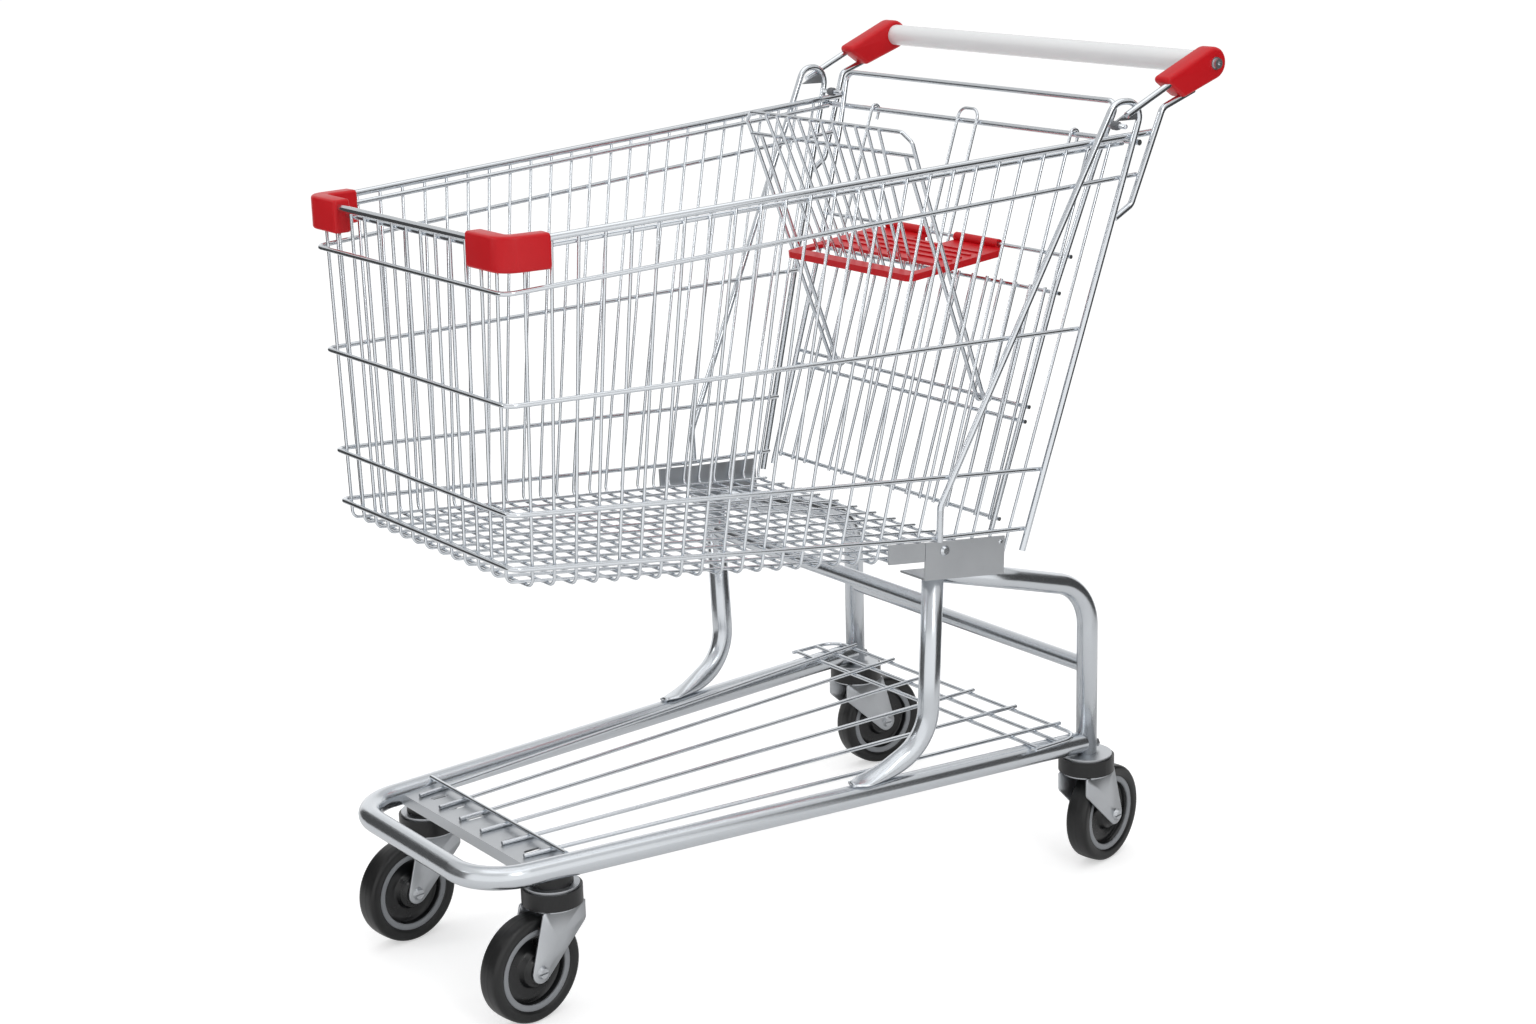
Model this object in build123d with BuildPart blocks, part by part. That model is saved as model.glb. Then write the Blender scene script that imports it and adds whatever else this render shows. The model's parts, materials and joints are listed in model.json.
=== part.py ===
from build123d import *
import math
import os

# Shopping cart, millimetres. +Z up, -Y is the nose, +Y the handle end, +X the pusher's left.
# The origin is on the floor, at the middle of the footprint.

# ---- wheels and casters ----
wheel_diameter = 125.0
tread_width = 30.0
tyre_depth = 14.0
core_width = 24.0
hub_diameter = 36.0
hub_length = 36.0
axle_diameter = 8.0
caster_trail = 37.0
fork_sheet = 3.0
fork_gap = 38.0
crown_clearance = 3.0
fork_back = 31.0
axle_boss_radius = 13.0
band_diameter = 70.0
band_height = 20.0
disc_diameter = 64.0
disc_thickness = 3.0
kingpin_diameter = 12.0
front_caster_x = 140.0
front_caster_y = -391.0
caster_headings = {"front_left": -82.0, "front_right": -83.0, "rear_left": 103.0, "rear_right": 87.0}

# ---- tube frame ----
rail_diameter = 27.0
post_diameter = 26.0
cross_tube_diameter = 20.0
tube_wall = 2.0
nose_y = -485.5
nose_half_width = 147.0
nose_bend = 62.0
nose_z = 178.0
rear_post_x = 232.0
rear_post_y = 342.0
rail_rear_z = 168.5
post_bend = 55.0
rear_run_end_y = 119.0
mid_post_y = 102.0
mid_post_lean = 14.0
mid_post_bend = 62.0
toe_length = 92.0
rear_crossbar_z = 268.0
upper_tube_z = 394.0

# ---- basket ----
front_y = -446.5
rim_end_y = 383.0
rim_front_half = 204.5
rim_rear_half = 284.5
rim_front_z = 889.0
rim_rear_z = 931.0
wall_lean = 0.048
floor_front_z = 520.0
floor_slope = -0.122
floor_end_y = 206.0
upright_diameter = 4.0
hoop_diameter = 5.5
rim_diameter = 8.0
loop_diameter = 8.0
floor_wire_diameter = 3.6
under_rod_drop = 9.0
side_upright_count = 25
front_upright_count = 13
floor_long_count = 13
corner_bend = 14.0
weld_bite = 0.15

# ---- rear loops and handle ----
edge_foot_y = 210.0
edge_foot_z = 449.0
edge_slope = 0.2927
brace_foot_y = 90.5
brace_knee_z = 524.0
brace_slope = 0.512
loop_top_z = 971.0
loop_bend = 20.0
handle_y = 469.0
handle_z = 1004.5
handle_diameter = 27.0
handle_core_diameter = 22.0
handle_rod_diameter = 8.0
cap_thickness = 26.0
cap_end_radius = 19.0
cap_inner_x = 281.5

# ---- rear gate and child seat ----
hinge_diameter = 7.0
gate_rod_diameter = 7.0
gate_wire_diameter = 4.0
gate_cross_diameter = 5.0
gate_angle = 18.4
gate_clearance = 0.6
gate_levels = {"seat": 144.0, "lower": 189.0, "middle": 328.0, "middle_two": 346.0, "bottom": 466.0}
gate_foot = 482.0
gate_top = 43.0
gate_top_half = 254.0
gate_foot_half = 217.0
gate_upright_count = 17
gate_upright_pitch = 26.0
hook_x = 188.0
hairpin_half = 18.0
hairpin_rise = 15.0
seat_rod_diameter = 5.0
seat_lean = 20.0
seat_height = 355.0
seat_second_rod = 325.0
seat_wire_foot = 158.0
seat_top_half = 146.0
seat_shoulder_half = 160.0
seat_foot_half = 149.5
seat_inner_leg_half = 136.5
seat_wire_count = 11
seat_wire_pitch = 22.0
plate_half_width = 122.0
plate_hinge_half = 106.0
plate_length = 156.0
plate_web = 4.0
plate_skirt = 8.0
plate_droop = 5.3
loose_clearance = 0.4

# ---- lower tray ----
tray_wire_diameter = 5.0
tray_wire_count = 6
tray_front_half = 118.0
tray_rear_half = 205.0
tray_loop_front_y = 250.0
tray_loop_rear_y = 318.0
tray_loop_half = 246.0

# Every y above is measured from the wheels' middle; this brings the whole cart's middle to zero.
centre_shift = 5.5

os.makedirs("parts", exist_ok=True)


def publish(builder, name):
    """Brings a finished sub-part into the cart's own frame, labels it and writes it."""
    placed = builder.part.moved(Location((0, centre_shift, 0)))
    placed.label = name
    export_step(placed, f"parts/{name}.step")


def rod(points, diameter, bend=0.0, wall=0.0):
    """Adds a round rod, or a tube where a wall is given, along straight runs joined by arcs."""
    with BuildLine() as route:
        if bend:
            FilletPolyline(*points, radius=bend)
        else:
            Line(*points)
    with BuildSketch(Plane(origin=route.line @ 0, z_dir=route.line % 0)) as section:
        Circle(diameter / 2)
        if wall:
            Circle(diameter / 2 - wall, mode=Mode.SUBTRACT)
    sweep(section.sketch, path=route.line)


def along(start, end, y):
    """The height at y on the straight line from start (y, z) to end (y, z)."""
    return start[1] + (end[1] - start[1]) * (y - start[0]) / (end[0] - start[0])


# ---- the basket's surfaces ----
hoop_out = (upright_diameter + hoop_diameter) / 2 - weld_bite
rim_out = hoop_out + hoop_diameter / 2 - rim_diameter / 2
loop_out = hoop_out + (hoop_diameter + loop_diameter) / 2 - weld_bite
under_rod_in = (upright_diameter + hoop_diameter) / 2 - weld_bite
side_taper = (rim_rear_half - rim_front_half) / (rim_end_y - front_y)


def wall_x(y, z, out=0.0):
    """Half the basket's width at y and z, on the uprights' centre plane, plus a distance outwards."""
    return rim_front_half + side_taper * (y - front_y) + wall_lean * (z - rim_front_z) + out


def rim_z(y):
    return along((front_y, rim_front_z), (rim_end_y, rim_rear_z), y)


def floor_z(y):
    return floor_front_z + floor_slope * (y - front_y)


def edge_y(z):
    """Where the rear edge rod stands at height z."""
    return edge_foot_y + edge_slope * (z - edge_foot_z)


def edge_meet(z, slope_per_y):
    """The y at which a hoop that rises by slope_per_y from height z at the front meets the rear edge."""
    return (edge_y(z) - edge_slope * slope_per_y * front_y) / (1 - edge_slope * slope_per_y)


# front height and rise per millimetre of the four hoops; the lowest one kinks over the plates
hoop_heights = {"upper": (838.0, 0.0562), "middle": (720.0, -0.0157), "lower": (602.0, -0.0842)}
low_hoop_front_z = 542.0
low_hoop_knee = (77.0, 484.5)
low_hoop_rear_z = 474.0

# ---- lower handle rod, which the rim and the upper hoop end on ----
lower_rod_points = [(440.0, 975.5), (390.4, 959.2), (350.0, 849.4)]
lower_rod_end = (327.5, 836.0)


def lower_rod_y(z):
    top = lower_rod_points[1]
    low = lower_rod_points[2]
    return top[0] + (low[0] - top[0]) * (z - top[1]) / (low[1] - top[1])


def ring_points(front_z, rear_points, out):
    """A wire round the basket: rear end, corner, corner, rear end; rear_points run from rear to front."""
    front_line = front_y - out
    left = [(wall_x(y, z, out), y, z) for y, z in rear_points]
    left.append((wall_x(front_line, front_z, out), front_line, front_z))
    right = [(-x, y, z) for x, y, z in reversed(left)]
    return left + right


# ================= basket =================
with BuildPart() as rim_rod:
    rim_end = (rim_end_y, rim_z(rim_end_y))
    rod(ring_points(rim_front_z, [rim_end], rim_out), rim_diameter, corner_bend + rim_out)
publish(rim_rod, "rim_rod")

with BuildPart() as basket_hoops:
    under_end_y = edge_y(rim_z(edge_y(rim_rear_z)) - under_rod_drop)
    under_end = (under_end_y, rim_z(under_end_y) - under_rod_drop)
    rod(ring_points(rim_front_z - under_rod_drop, [under_end], -under_rod_in), hoop_diameter, corner_bend)
    for level, (front_height, rise) in hoop_heights.items():
        end_y = edge_meet(front_height, rise)
        if level == "upper":
            end_y = lower_rod_y(front_height + rise * (edge_y(front_height) - front_y))
        end = (end_y, front_height + rise * (end_y - front_y))
        rod(ring_points(front_height, [end], hoop_out), hoop_diameter, corner_bend)
    low_end = (edge_y(low_hoop_rear_z), low_hoop_rear_z)
    rod(ring_points(low_hoop_front_z, [low_end, low_hoop_knee], hoop_out), hoop_diameter, corner_bend)
publish(basket_hoops, "basket_hoops")

upright_top_drop = math.sqrt((rim_diameter / 2 - weld_bite) ** 2 - (rim_out - upright_diameter / 2) ** 2)
first_side_y = front_y + 22.0
last_top_y = 326.0
last_foot_y = 190.0


def foot_z(y):
    """The uprights stand on the floor's cross wires."""
    return floor_z(y) + floor_wire_diameter / 2 - weld_bite


with BuildPart() as basket_uprights:
    for index in range(side_upright_count):
        share = index / (side_upright_count - 1)
        top_y = first_side_y + share * (last_top_y - first_side_y)
        foot_y = first_side_y + share * (last_foot_y - first_side_y)
        top_z = rim_z(top_y) - upright_top_drop
        for side in (1, -1):
            top = (side * wall_x(top_y, top_z), top_y, top_z)
            foot = (side * wall_x(foot_y, foot_z(foot_y)), foot_y, foot_z(foot_y))
            rod([foot, top], upright_diameter)
    front_span = 2 * wall_x(front_y, floor_front_z) - 30.0
    for index in range(front_upright_count):
        share = index / (front_upright_count - 1) - 0.5
        foot = (share * front_span, front_y, foot_z(front_y))
        top = (share * front_span * rim_front_half / wall_x(front_y, floor_front_z), front_y,
               rim_front_z - upright_top_drop)
        rod([foot, top], upright_diameter)
publish(basket_uprights, "basket_uprights")

cross_wire_pitch = (last_foot_y - first_side_y) / (side_upright_count - 1)

with BuildPart() as floor_cross_wires:
    cross_ys = [front_y] + [first_side_y + index * cross_wire_pitch for index in range(side_upright_count)]
    for y in cross_ys:
        half = wall_x(y, floor_z(y), upright_diameter / 2)
        rod([(half, y, floor_z(y)), (-half, y, floor_z(y))], floor_wire_diameter)
publish(floor_cross_wires, "floor_cross_wires")

with BuildPart() as floor_long_wires:
    lift = floor_wire_diameter - weld_bite
    for index in range(floor_long_count):
        share = 2 * index / (floor_long_count - 1) - 1
        front_x = share * (wall_x(front_y, floor_front_z) - 12.0)
        rear_x = share * (wall_x(last_foot_y, floor_z(last_foot_y)) - 14.0)
        start = (front_x, front_y + upright_diameter / 2 + loose_clearance, floor_z(front_y) + lift)
        end = (rear_x, floor_end_y - 10.0, floor_z(floor_end_y - 10.0) + lift)
        rod([start, end], floor_wire_diameter)
publish(floor_long_wires, "floor_long_wires")

# ================= rear loops: diagonal brace, bend and rear edge in one rod =================
brace_top_y = brace_foot_y + brace_slope * (loop_top_z - brace_knee_z)
brace_foot_z = along((low_hoop_knee[0], low_hoop_knee[1]), (edge_y(low_hoop_rear_z), low_hoop_rear_z),
                     brace_foot_y) - hoop_diameter / 2
loop_path = [(brace_foot_y, brace_foot_z), (brace_foot_y, brace_knee_z), (brace_top_y, loop_top_z),
             (edge_y(loop_top_z), loop_top_z), (edge_foot_y, edge_foot_z)]


def make_rear_loop(side, name):
    with BuildPart() as rear_loop:
        points = [(side * wall_x(y, z, loop_out), y, z) for y, z in loop_path]
        rod(points, loop_diameter, loop_bend)
    publish(rear_loop, name)


make_rear_loop(1, "rear_loop_left")
make_rear_loop(-1, "rear_loop_right")

# ================= hinge bar, under the rim's ends and behind the rear edge rods =================
edge_angle = math.atan(edge_slope)
hinge_reach = (loop_diameter + hinge_diameter) / 2 - weld_bite
hinge_z = rim_z(edge_y(rim_rear_z)) - (rim_diameter + hinge_diameter) / 2 + weld_bite
hinge_y = edge_y(hinge_z) + hinge_reach / math.cos(edge_angle)
hinge_half = wall_x(edge_y(hinge_z), hinge_z, loop_out) + loop_diameter / 2

with BuildPart() as hinge_bar:
    rod([(-hinge_half, hinge_y, hinge_z), (hinge_half, hinge_y, hinge_z)], hinge_diameter)
publish(hinge_bar, "hinge_bar")

# ================= handle rods, gussets, end caps, handle =================
upper_rod_out = loop_out + (loop_diameter + handle_rod_diameter) / 2 - weld_bite
upper_rod_foot = (331.0, 956.0)
upper_rod_head = (446.0, 1006.0)
lower_rod_x = wall_x(lower_rod_points[1][0], lower_rod_points[1][1], loop_out)
upper_rod_x = wall_x(upper_rod_foot[0], upper_rod_foot[1], upper_rod_out)

with BuildPart() as handle_rods:
    lower_path = lower_rod_points + [lower_rod_end]
    for side in (1, -1):
        points = [(side * wall_x(min(y, lower_rod_points[1][0]), min(z, lower_rod_points[1][1]), loop_out), y, z)
                  for y, z in lower_path]
        rod(points, handle_rod_diameter, 12.0)
        rod([(side * upper_rod_x, *upper_rod_foot), (side * upper_rod_x, *upper_rod_head)],
            handle_rod_diameter)
publish(handle_rods, "handle_rods")

gusset_thickness = 3.0
gusset_path = [(319.0, 950.0), (334.0, 957.0), (351.0, 963.0), (351.0, 949.0)]
gusset_out = loop_out + loop_diameter / 2 - gusset_thickness

with BuildPart() as loop_gussets:
    gusset_x = wall_x(upper_rod_foot[0], upper_rod_foot[1], gusset_out)
    for side in (1, -1):
        with BuildSketch(Plane.YZ.offset(side * (gusset_x + gusset_thickness / 2))):
            with BuildLine():
                Polyline(*gusset_path, close=True)
            make_face()
        extrude(amount=gusset_thickness / 2, both=True)
publish(loop_gussets, "loop_gussets")

cap_outer_x = cap_inner_x + cap_thickness
cap_tip_low = (handle_y + cap_end_radius * math.sin(math.radians(18.0)),
               handle_z - cap_end_radius * math.cos(math.radians(18.0)))
cap_tip_high = (handle_y - cap_end_radius * math.sin(math.radians(23.5)),
                handle_z + cap_end_radius * math.cos(math.radians(23.5)))
cap_front_high = (388.0, 991.0)
cap_front_low = (421.0, 969.0)
cap_edge_round = 5.0
bolt_diameter = 8.0


def make_end_cap(side, name):
    """A moulded casing that holds the handle's end and the two rods of one side."""
    with BuildPart() as end_cap:
        with BuildSketch(Plane.YZ.offset(side * (cap_inner_x + cap_thickness / 2))):
            with BuildLine():
                Line(cap_tip_high, cap_front_high)
                Line(cap_front_high, cap_front_low)
                Line(cap_front_low, cap_tip_low)
                ThreePointArc(cap_tip_low, (handle_y + cap_end_radius, handle_z), cap_tip_high)
            make_face()
        extrude(amount=cap_thickness / 2, both=True)
        outline = end_cap.edges().filter_by(lambda edge: abs(edge.tangent_at(0.5).X) < 0.5)
        fillet(outline, cap_edge_round)
        with BuildSketch(Plane.YZ.offset(side * cap_inner_x)):
            with Locations((handle_y, handle_z)):
                Circle(handle_core_diameter / 2)
        extrude(amount=side * (cap_thickness - 5.0), mode=Mode.SUBTRACT)
        with BuildSketch(Plane.YZ.offset(side * cap_outer_x)):
            with Locations((handle_y, handle_z)):
                Circle(bolt_diameter / 2)
        extrude(amount=-side * 10.0, mode=Mode.SUBTRACT)
        for x, start, end in ((lower_rod_x, lower_rod_points[1], lower_rod_points[0]),
                              (upper_rod_x, upper_rod_foot, upper_rod_head)):
            bore_start = Vector(side * x, *start)
            bore_end = Vector(side * x, *end)
            bore_line = bore_end - bore_start
            with BuildSketch(Plane(origin=bore_start, z_dir=bore_line)):
                Circle(handle_rod_diameter / 2)
            extrude(amount=bore_line.length, mode=Mode.SUBTRACT)
    publish(end_cap, name)


make_end_cap(1, "end_cap_left")
make_end_cap(-1, "end_cap_right")

core_half = cap_outer_x - 5.0
plug_length = 25.0

with BuildPart() as handle_core:
    rod([(-core_half, handle_y, handle_z), (core_half, handle_y, handle_z)], handle_core_diameter)
    inner_half = core_half - plug_length
    with BuildSketch(Plane.YZ.offset(-inner_half)):
        with Locations((handle_y, handle_z)):
            Circle(handle_core_diameter / 2 - tube_wall)
    extrude(amount=2 * inner_half, mode=Mode.SUBTRACT)
    for side in (1, -1):
        with BuildSketch(Plane.YZ.offset(side * core_half)):
            with Locations((handle_y, handle_z)):
                Circle(bolt_diameter / 2)
        extrude(amount=-side * plug_length, mode=Mode.SUBTRACT)
publish(handle_core, "handle_core")

with BuildPart() as handle_sleeve:
    with BuildSketch(Plane.YZ.offset(-cap_inner_x)):
        with Locations((handle_y, handle_z)):
            Circle(handle_diameter / 2)
            Circle(handle_core_diameter / 2, mode=Mode.SUBTRACT)
    extrude(amount=2 * cap_inner_x)
publish(handle_sleeve, "handle_sleeve")

washer_diameter = 15.0
washer_thickness = 1.6
bolt_head_diameter = 12.0
bolt_head_height = 4.0
bolt_socket = 5.0

with BuildPart() as handle_bolts:
    for side in (1, -1):
        face = Plane(origin=(side * cap_outer_x, handle_y, handle_z), x_dir=(0, 1, 0), z_dir=(side, 0, 0))
        with BuildSketch(face):
            Circle(washer_diameter / 2)
        extrude(amount=washer_thickness)
        with BuildSketch(face.offset(washer_thickness)):
            Circle(bolt_head_diameter / 2)
        extrude(amount=bolt_head_height)
        with BuildSketch(face.offset(washer_thickness + bolt_head_height)):
            RegularPolygon(bolt_socket / 2, 6)
        extrude(amount=-bolt_head_height * 0.6, mode=Mode.SUBTRACT)
        with BuildSketch(face):
            Circle(bolt_diameter / 2)
        extrude(amount=-20.0)
publish(handle_bolts, "handle_bolts")

# ================= corner bumpers =================
bumper_front_length = 62.0
bumper_side_length = 48.0
bumper_skin = 2.6
bumper_height = 38.0
bumper_top_gap = 2.5
bumper_top_z = rim_z(front_y + bumper_side_length) + rim_diameter / 2 + bumper_top_gap
bumper_outer = rim_out + rim_diameter / 2 + bumper_skin / 2 + weld_bite
bumper_inner = -(under_rod_in + hoop_diameter / 2 + bumper_skin / 2 + loose_clearance)
bumper_lip = 34.0


def bumper_layer(side, out, thickness, low_z, high_z):
    """One wall of the bumper: an L in plan, drawn round the rim's corner at a distance outwards."""
    corner_x = wall_x(front_y - out, rim_front_z, out)
    end_x = wall_x(front_y + bumper_side_length, rim_front_z, out)
    corner_radius = corner_bend + out + (under_rod_in if out < 0 else 0.0)
    with BuildSketch(Plane.XY.offset(low_z)) as layer:
        with BuildLine():
            FilletPolyline((side * (corner_x - bumper_front_length), front_y - out), (side * corner_x, front_y - out),
                           (side * end_x, front_y + bumper_side_length), radius=corner_radius)
        trace(line_width=thickness)
    extrude(layer.sketch, amount=high_z - low_z)


with BuildPart() as corner_bumpers:
    middle = (bumper_outer + bumper_inner) / 2
    full_width = bumper_outer - bumper_inner + bumper_skin
    for side in (1, -1):
        bumper_layer(side, bumper_outer, bumper_skin, bumper_top_z - bumper_height, bumper_top_z)
        bumper_layer(side, bumper_inner, bumper_skin, bumper_top_z - bumper_lip, bumper_top_z)
        bumper_layer(side, middle, full_width, bumper_top_z - bumper_skin, bumper_top_z)
publish(corner_bumpers, "corner_bumpers")

# ================= mounting plates under the basket =================
plate_sheet = 2.5
rear_plate = [(77.0, 480.0), (190.0, 469.5), (190.0, 422.0), (77.0, 433.5)]
front_plate = [(26.0, 486.0), (76.0, 480.5), (76.0, 457.0), (26.0, 462.0)]
flange_width = 46.0
plate_out = upright_diameter / 2 - weld_bite


def side_sheet(side, outline, out):
    """A sheet that stands in the basket's side wall, drawn by its outline in y and z."""
    corners = [(side * wall_x(y, z, out), y, z) for y, z in outline]
    with BuildLine() as border:
        Polyline(*corners, close=True)
    sheet = Face(Wire(border.edges()))
    normal = sheet.normal_at()
    extrude(sheet, amount=plate_sheet, dir=normal * (side if normal.X > 0 else -side))


def flange_z(y):
    return along(rear_plate[3], rear_plate[2], y)


with BuildPart() as mounting_plates_rear:
    for side in (1, -1):
        side_sheet(side, rear_plate, plate_out)
        start_y = rear_plate[3][0]
        end_y = rear_plate[2][0]
        web_start = wall_x(start_y, flange_z(start_y), plate_out + plate_sheet)
        web_end = wall_x(end_y, flange_z(end_y), plate_out + plate_sheet)
        slope = math.degrees(math.atan2(flange_z(end_y) - flange_z(start_y), end_y - start_y))
        flange_plane = Plane(origin=(0, start_y, flange_z(start_y)), x_dir=(1, 0, 0),
                             z_dir=(0, -math.sin(math.radians(slope)), math.cos(math.radians(slope))))
        run = (end_y - start_y) / math.cos(math.radians(slope))
        with BuildSketch(flange_plane):
            with BuildLine():
                Polyline((side * web_start, 0), (side * web_end, run), (side * (web_end - flange_width), run),
                         (side * (web_start - flange_width), 0), close=True)
            make_face()
        extrude(amount=plate_sheet)
publish(mounting_plates_rear, "mounting_plates_rear")

with BuildPart() as mounting_plates_front:
    for side in (1, -1):
        side_sheet(side, front_plate, plate_out)
publish(mounting_plates_front, "mounting_plates_front")

rivet_spots = [(104.0, 466.0, 6.5, 3.2), (184.0, 463.0, 3.0, 1.6)]

with BuildPart() as plate_rivets:
    for y, z, radius, height in rivet_spots:
        for side in (1, -1):
            face_x = wall_x(y, z, plate_out + plate_sheet)
            head = Plane(origin=(side * face_x, y, z), x_dir=(0, 1, 0), z_dir=(side, 0, 0))
            with BuildSketch(head.offset(-weld_bite)):
                Circle(radius)
            extrude(amount=height, taper=35)
publish(plate_rivets, "plate_rivets")

# ================= tube frame =================
rail_slope = (rear_post_x - nose_half_width) / (rear_post_y - nose_y)


def rail_x(y):
    return nose_half_width + rail_slope * (y - nose_y)


def rail_z(y):
    return along((nose_y, nose_z), (rear_post_y, rail_rear_z), y)


post_foot_z = wheel_diameter + crown_clearance + fork_sheet + band_height + disc_thickness

with BuildPart() as base_rail:
    reach = rear_post_y - post_diameter / 4
    left = [(rail_x(reach), reach, rail_z(reach)), (nose_half_width, nose_y, nose_z)]
    rod(left + [(-x, y, z) for x, y, z in reversed(left)], rail_diameter, nose_bend, tube_wall)
    with Locations((rear_post_x, rear_post_y, post_foot_z), (-rear_post_x, rear_post_y, post_foot_z)):
        Cylinder(post_diameter / 2, 100.0, mode=Mode.SUBTRACT)
publish(base_rail, "base_rail")

stem_bolt_diameter = 6.0
stem_bolt_z = post_foot_z + 9.0


def make_rear_post(side, name):
    """Rises from the caster, bends forward and runs along under the mounting plate's flange."""
    run_x = wall_x(rear_run_end_y, flange_z(rear_run_end_y)) - 14.0
    drop = post_diameter / 2 - weld_bite
    elbow_z = flange_z(rear_post_y) - drop
    with BuildPart() as rear_post:
        rod([(side * rear_post_x, rear_post_y, post_foot_z), (side * rear_post_x, rear_post_y, elbow_z),
             (side * run_x, rear_run_end_y, flange_z(rear_run_end_y) - drop)],
            post_diameter, post_bend, tube_wall)
        with Locations(Plane.XZ.offset(-rear_post_y)):
            with Locations((side * rear_post_x, stem_bolt_z)):
                Cylinder(stem_bolt_diameter / 2, 3 * post_diameter, mode=Mode.SUBTRACT)
    publish(rear_post, name)


make_rear_post(1, "rear_post_left")
make_rear_post(-1, "rear_post_right")

heel_rise = 15.0
toe_rise = 4.0


def cope(start, end, diameter):
    """Cuts the bed for another tube, along its axis, less the weld's bite."""
    run = Vector(*end) - Vector(*start)
    with BuildSketch(Plane(origin=start, z_dir=run)) as bed:
        Circle(diameter / 2 - weld_bite)
    extrude(bed.sketch, amount=run.length, mode=Mode.SUBTRACT)


def mid_post_axis(side):
    """The straight part of a mid post, from under the flange down to its bend."""
    top = (side * (rail_x(mid_post_y) + mid_post_lean), mid_post_y, flange_z(mid_post_y) + weld_bite)
    heel_z = rail_z(mid_post_y) + rail_diameter / 2 + heel_rise
    return top, (side * rail_x(mid_post_y), mid_post_y, heel_z)


def make_mid_post(side, name):
    """Stands under the flange; its foot curves forward and is cut to lie on the rail."""
    toe_y = mid_post_y - toe_length
    toe = (side * rail_x(toe_y), toe_y, rail_z(toe_y) + rail_diameter / 2 + toe_rise)
    with BuildPart() as mid_post:
        top, heel = mid_post_axis(side)
        rod([top, heel, toe], post_diameter, mid_post_bend, tube_wall)
        ends = [(side * rail_x(y), y, rail_z(y)) for y in (toe_y - 60.0, mid_post_y + 60.0)]
        cope(ends[0], ends[1], rail_diameter)
    publish(mid_post, name)


make_mid_post(1, "mid_post_left")
make_mid_post(-1, "mid_post_right")

with BuildPart() as rear_crossbar:
    rod([(-rear_post_x, rear_post_y, rear_crossbar_z), (rear_post_x, rear_post_y, rear_crossbar_z)],
        cross_tube_diameter)
    for side in (1, -1):
        cope((side * rear_post_x, rear_post_y, rear_crossbar_z - post_diameter),
             (side * rear_post_x, rear_post_y, rear_crossbar_z + post_diameter), post_diameter)
publish(rear_crossbar, "rear_crossbar")

with BuildPart() as upper_cross_tube:
    post_top, post_heel = mid_post_axis(1)
    upper_half = along((post_heel[2], post_heel[0]), (post_top[2], post_top[0]), upper_tube_z)
    rod([(-upper_half, mid_post_y, upper_tube_z), (upper_half, mid_post_y, upper_tube_z)],
        cross_tube_diameter)
    for side in (1, -1):
        axis_top, axis_heel = mid_post_axis(side)
        cope(axis_heel, axis_top, post_diameter)
publish(upper_cross_tube, "upper_cross_tube")

# ================= front caster plate, cups, tray =================
channel_front_y = -422.0
channel_rear_y = -364.0
channel_top_z = 181.0
channel_lip = 14.0
cup_diameter = 50.0
keyhole_width = 7.0
keyhole_length = 22.0


def cope_rails():
    """Beds for both rails across the nose."""
    for side in (1, -1):
        cope((side * rail_x(nose_y), nose_y, rail_z(nose_y)), (side * rail_x(0), 0, rail_z(0)), rail_diameter)


with BuildPart() as front_caster_plate:
    depth = channel_rear_y - channel_front_y
    middle_y = (channel_rear_y + channel_front_y) / 2
    with BuildSketch(Plane.XY.offset(channel_top_z - plate_sheet)):
        with Locations((0, middle_y)):
            Rectangle(2 * rail_x(middle_y), depth)
        with Locations(*[(offset * 42.0, middle_y) for offset in (-2.5, -1.5, -0.5, 0.5, 1.5, 2.5)]):
            SlotOverall(keyhole_length, keyhole_width, rotation=90, mode=Mode.SUBTRACT)
    extrude(amount=plate_sheet)
    with BuildSketch(Plane.XY.offset(channel_top_z - channel_lip)):
        for y in (channel_front_y + plate_sheet / 2, channel_rear_y - plate_sheet / 2):
            with Locations((0, y)):
                Rectangle(2 * rail_x(middle_y), plate_sheet)
    extrude(amount=channel_lip)
    cope_rails()
publish(front_caster_plate, "front_caster_plate")

front_pivots = [(front_caster_x, front_caster_y), (-front_caster_x, front_caster_y)]
rear_pivots = [(rear_post_x, rear_post_y), (-rear_post_x, rear_post_y)]

with BuildPart() as front_caster_cups:
    with BuildSketch(Plane.XY.offset(post_foot_z)):
        with Locations(*front_pivots):
            Circle(cup_diameter / 2)
            Circle(kingpin_diameter / 2, mode=Mode.SUBTRACT)
    extrude(amount=channel_top_z - plate_sheet - post_foot_z)
    cope_rails()
publish(front_caster_cups, "front_caster_cups")

tray_front_z = channel_top_z + tray_wire_diameter / 2 - weld_bite
tray_rear_z = rail_z(tray_loop_rear_y) + (rail_diameter + tray_wire_diameter) / 2 - weld_bite
tray_step = tray_wire_diameter - weld_bite
tray_front_y = -412.0
tray_rear_y = tray_loop_rear_y + 4.0
tray_long_rear_z = tray_rear_z + tray_step
tray_bar_y = -377.0
tray_bar_z = along((tray_front_y, tray_front_z), (tray_rear_y, tray_long_rear_z), tray_bar_y) + tray_step

with BuildPart() as tray_long_wires:
    for index in range(tray_wire_count):
        share = 2 * index / (tray_wire_count - 1) - 1
        rod([(share * tray_front_half, tray_front_y, tray_front_z),
             (share * tray_rear_half, tray_rear_y, tray_long_rear_z)], tray_wire_diameter)
publish(tray_long_wires, "tray_long_wires")

with BuildPart() as tray_rear_loop:
    rod([(tray_loop_half, tray_loop_front_y - 6.0, tray_rear_z), (tray_loop_half, tray_loop_rear_y, tray_rear_z),
         (-tray_loop_half, tray_loop_rear_y, tray_rear_z),
         (-tray_loop_half, tray_loop_front_y - 6.0, tray_rear_z)], tray_wire_diameter, 25.0)
publish(tray_rear_loop, "tray_rear_loop")

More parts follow.
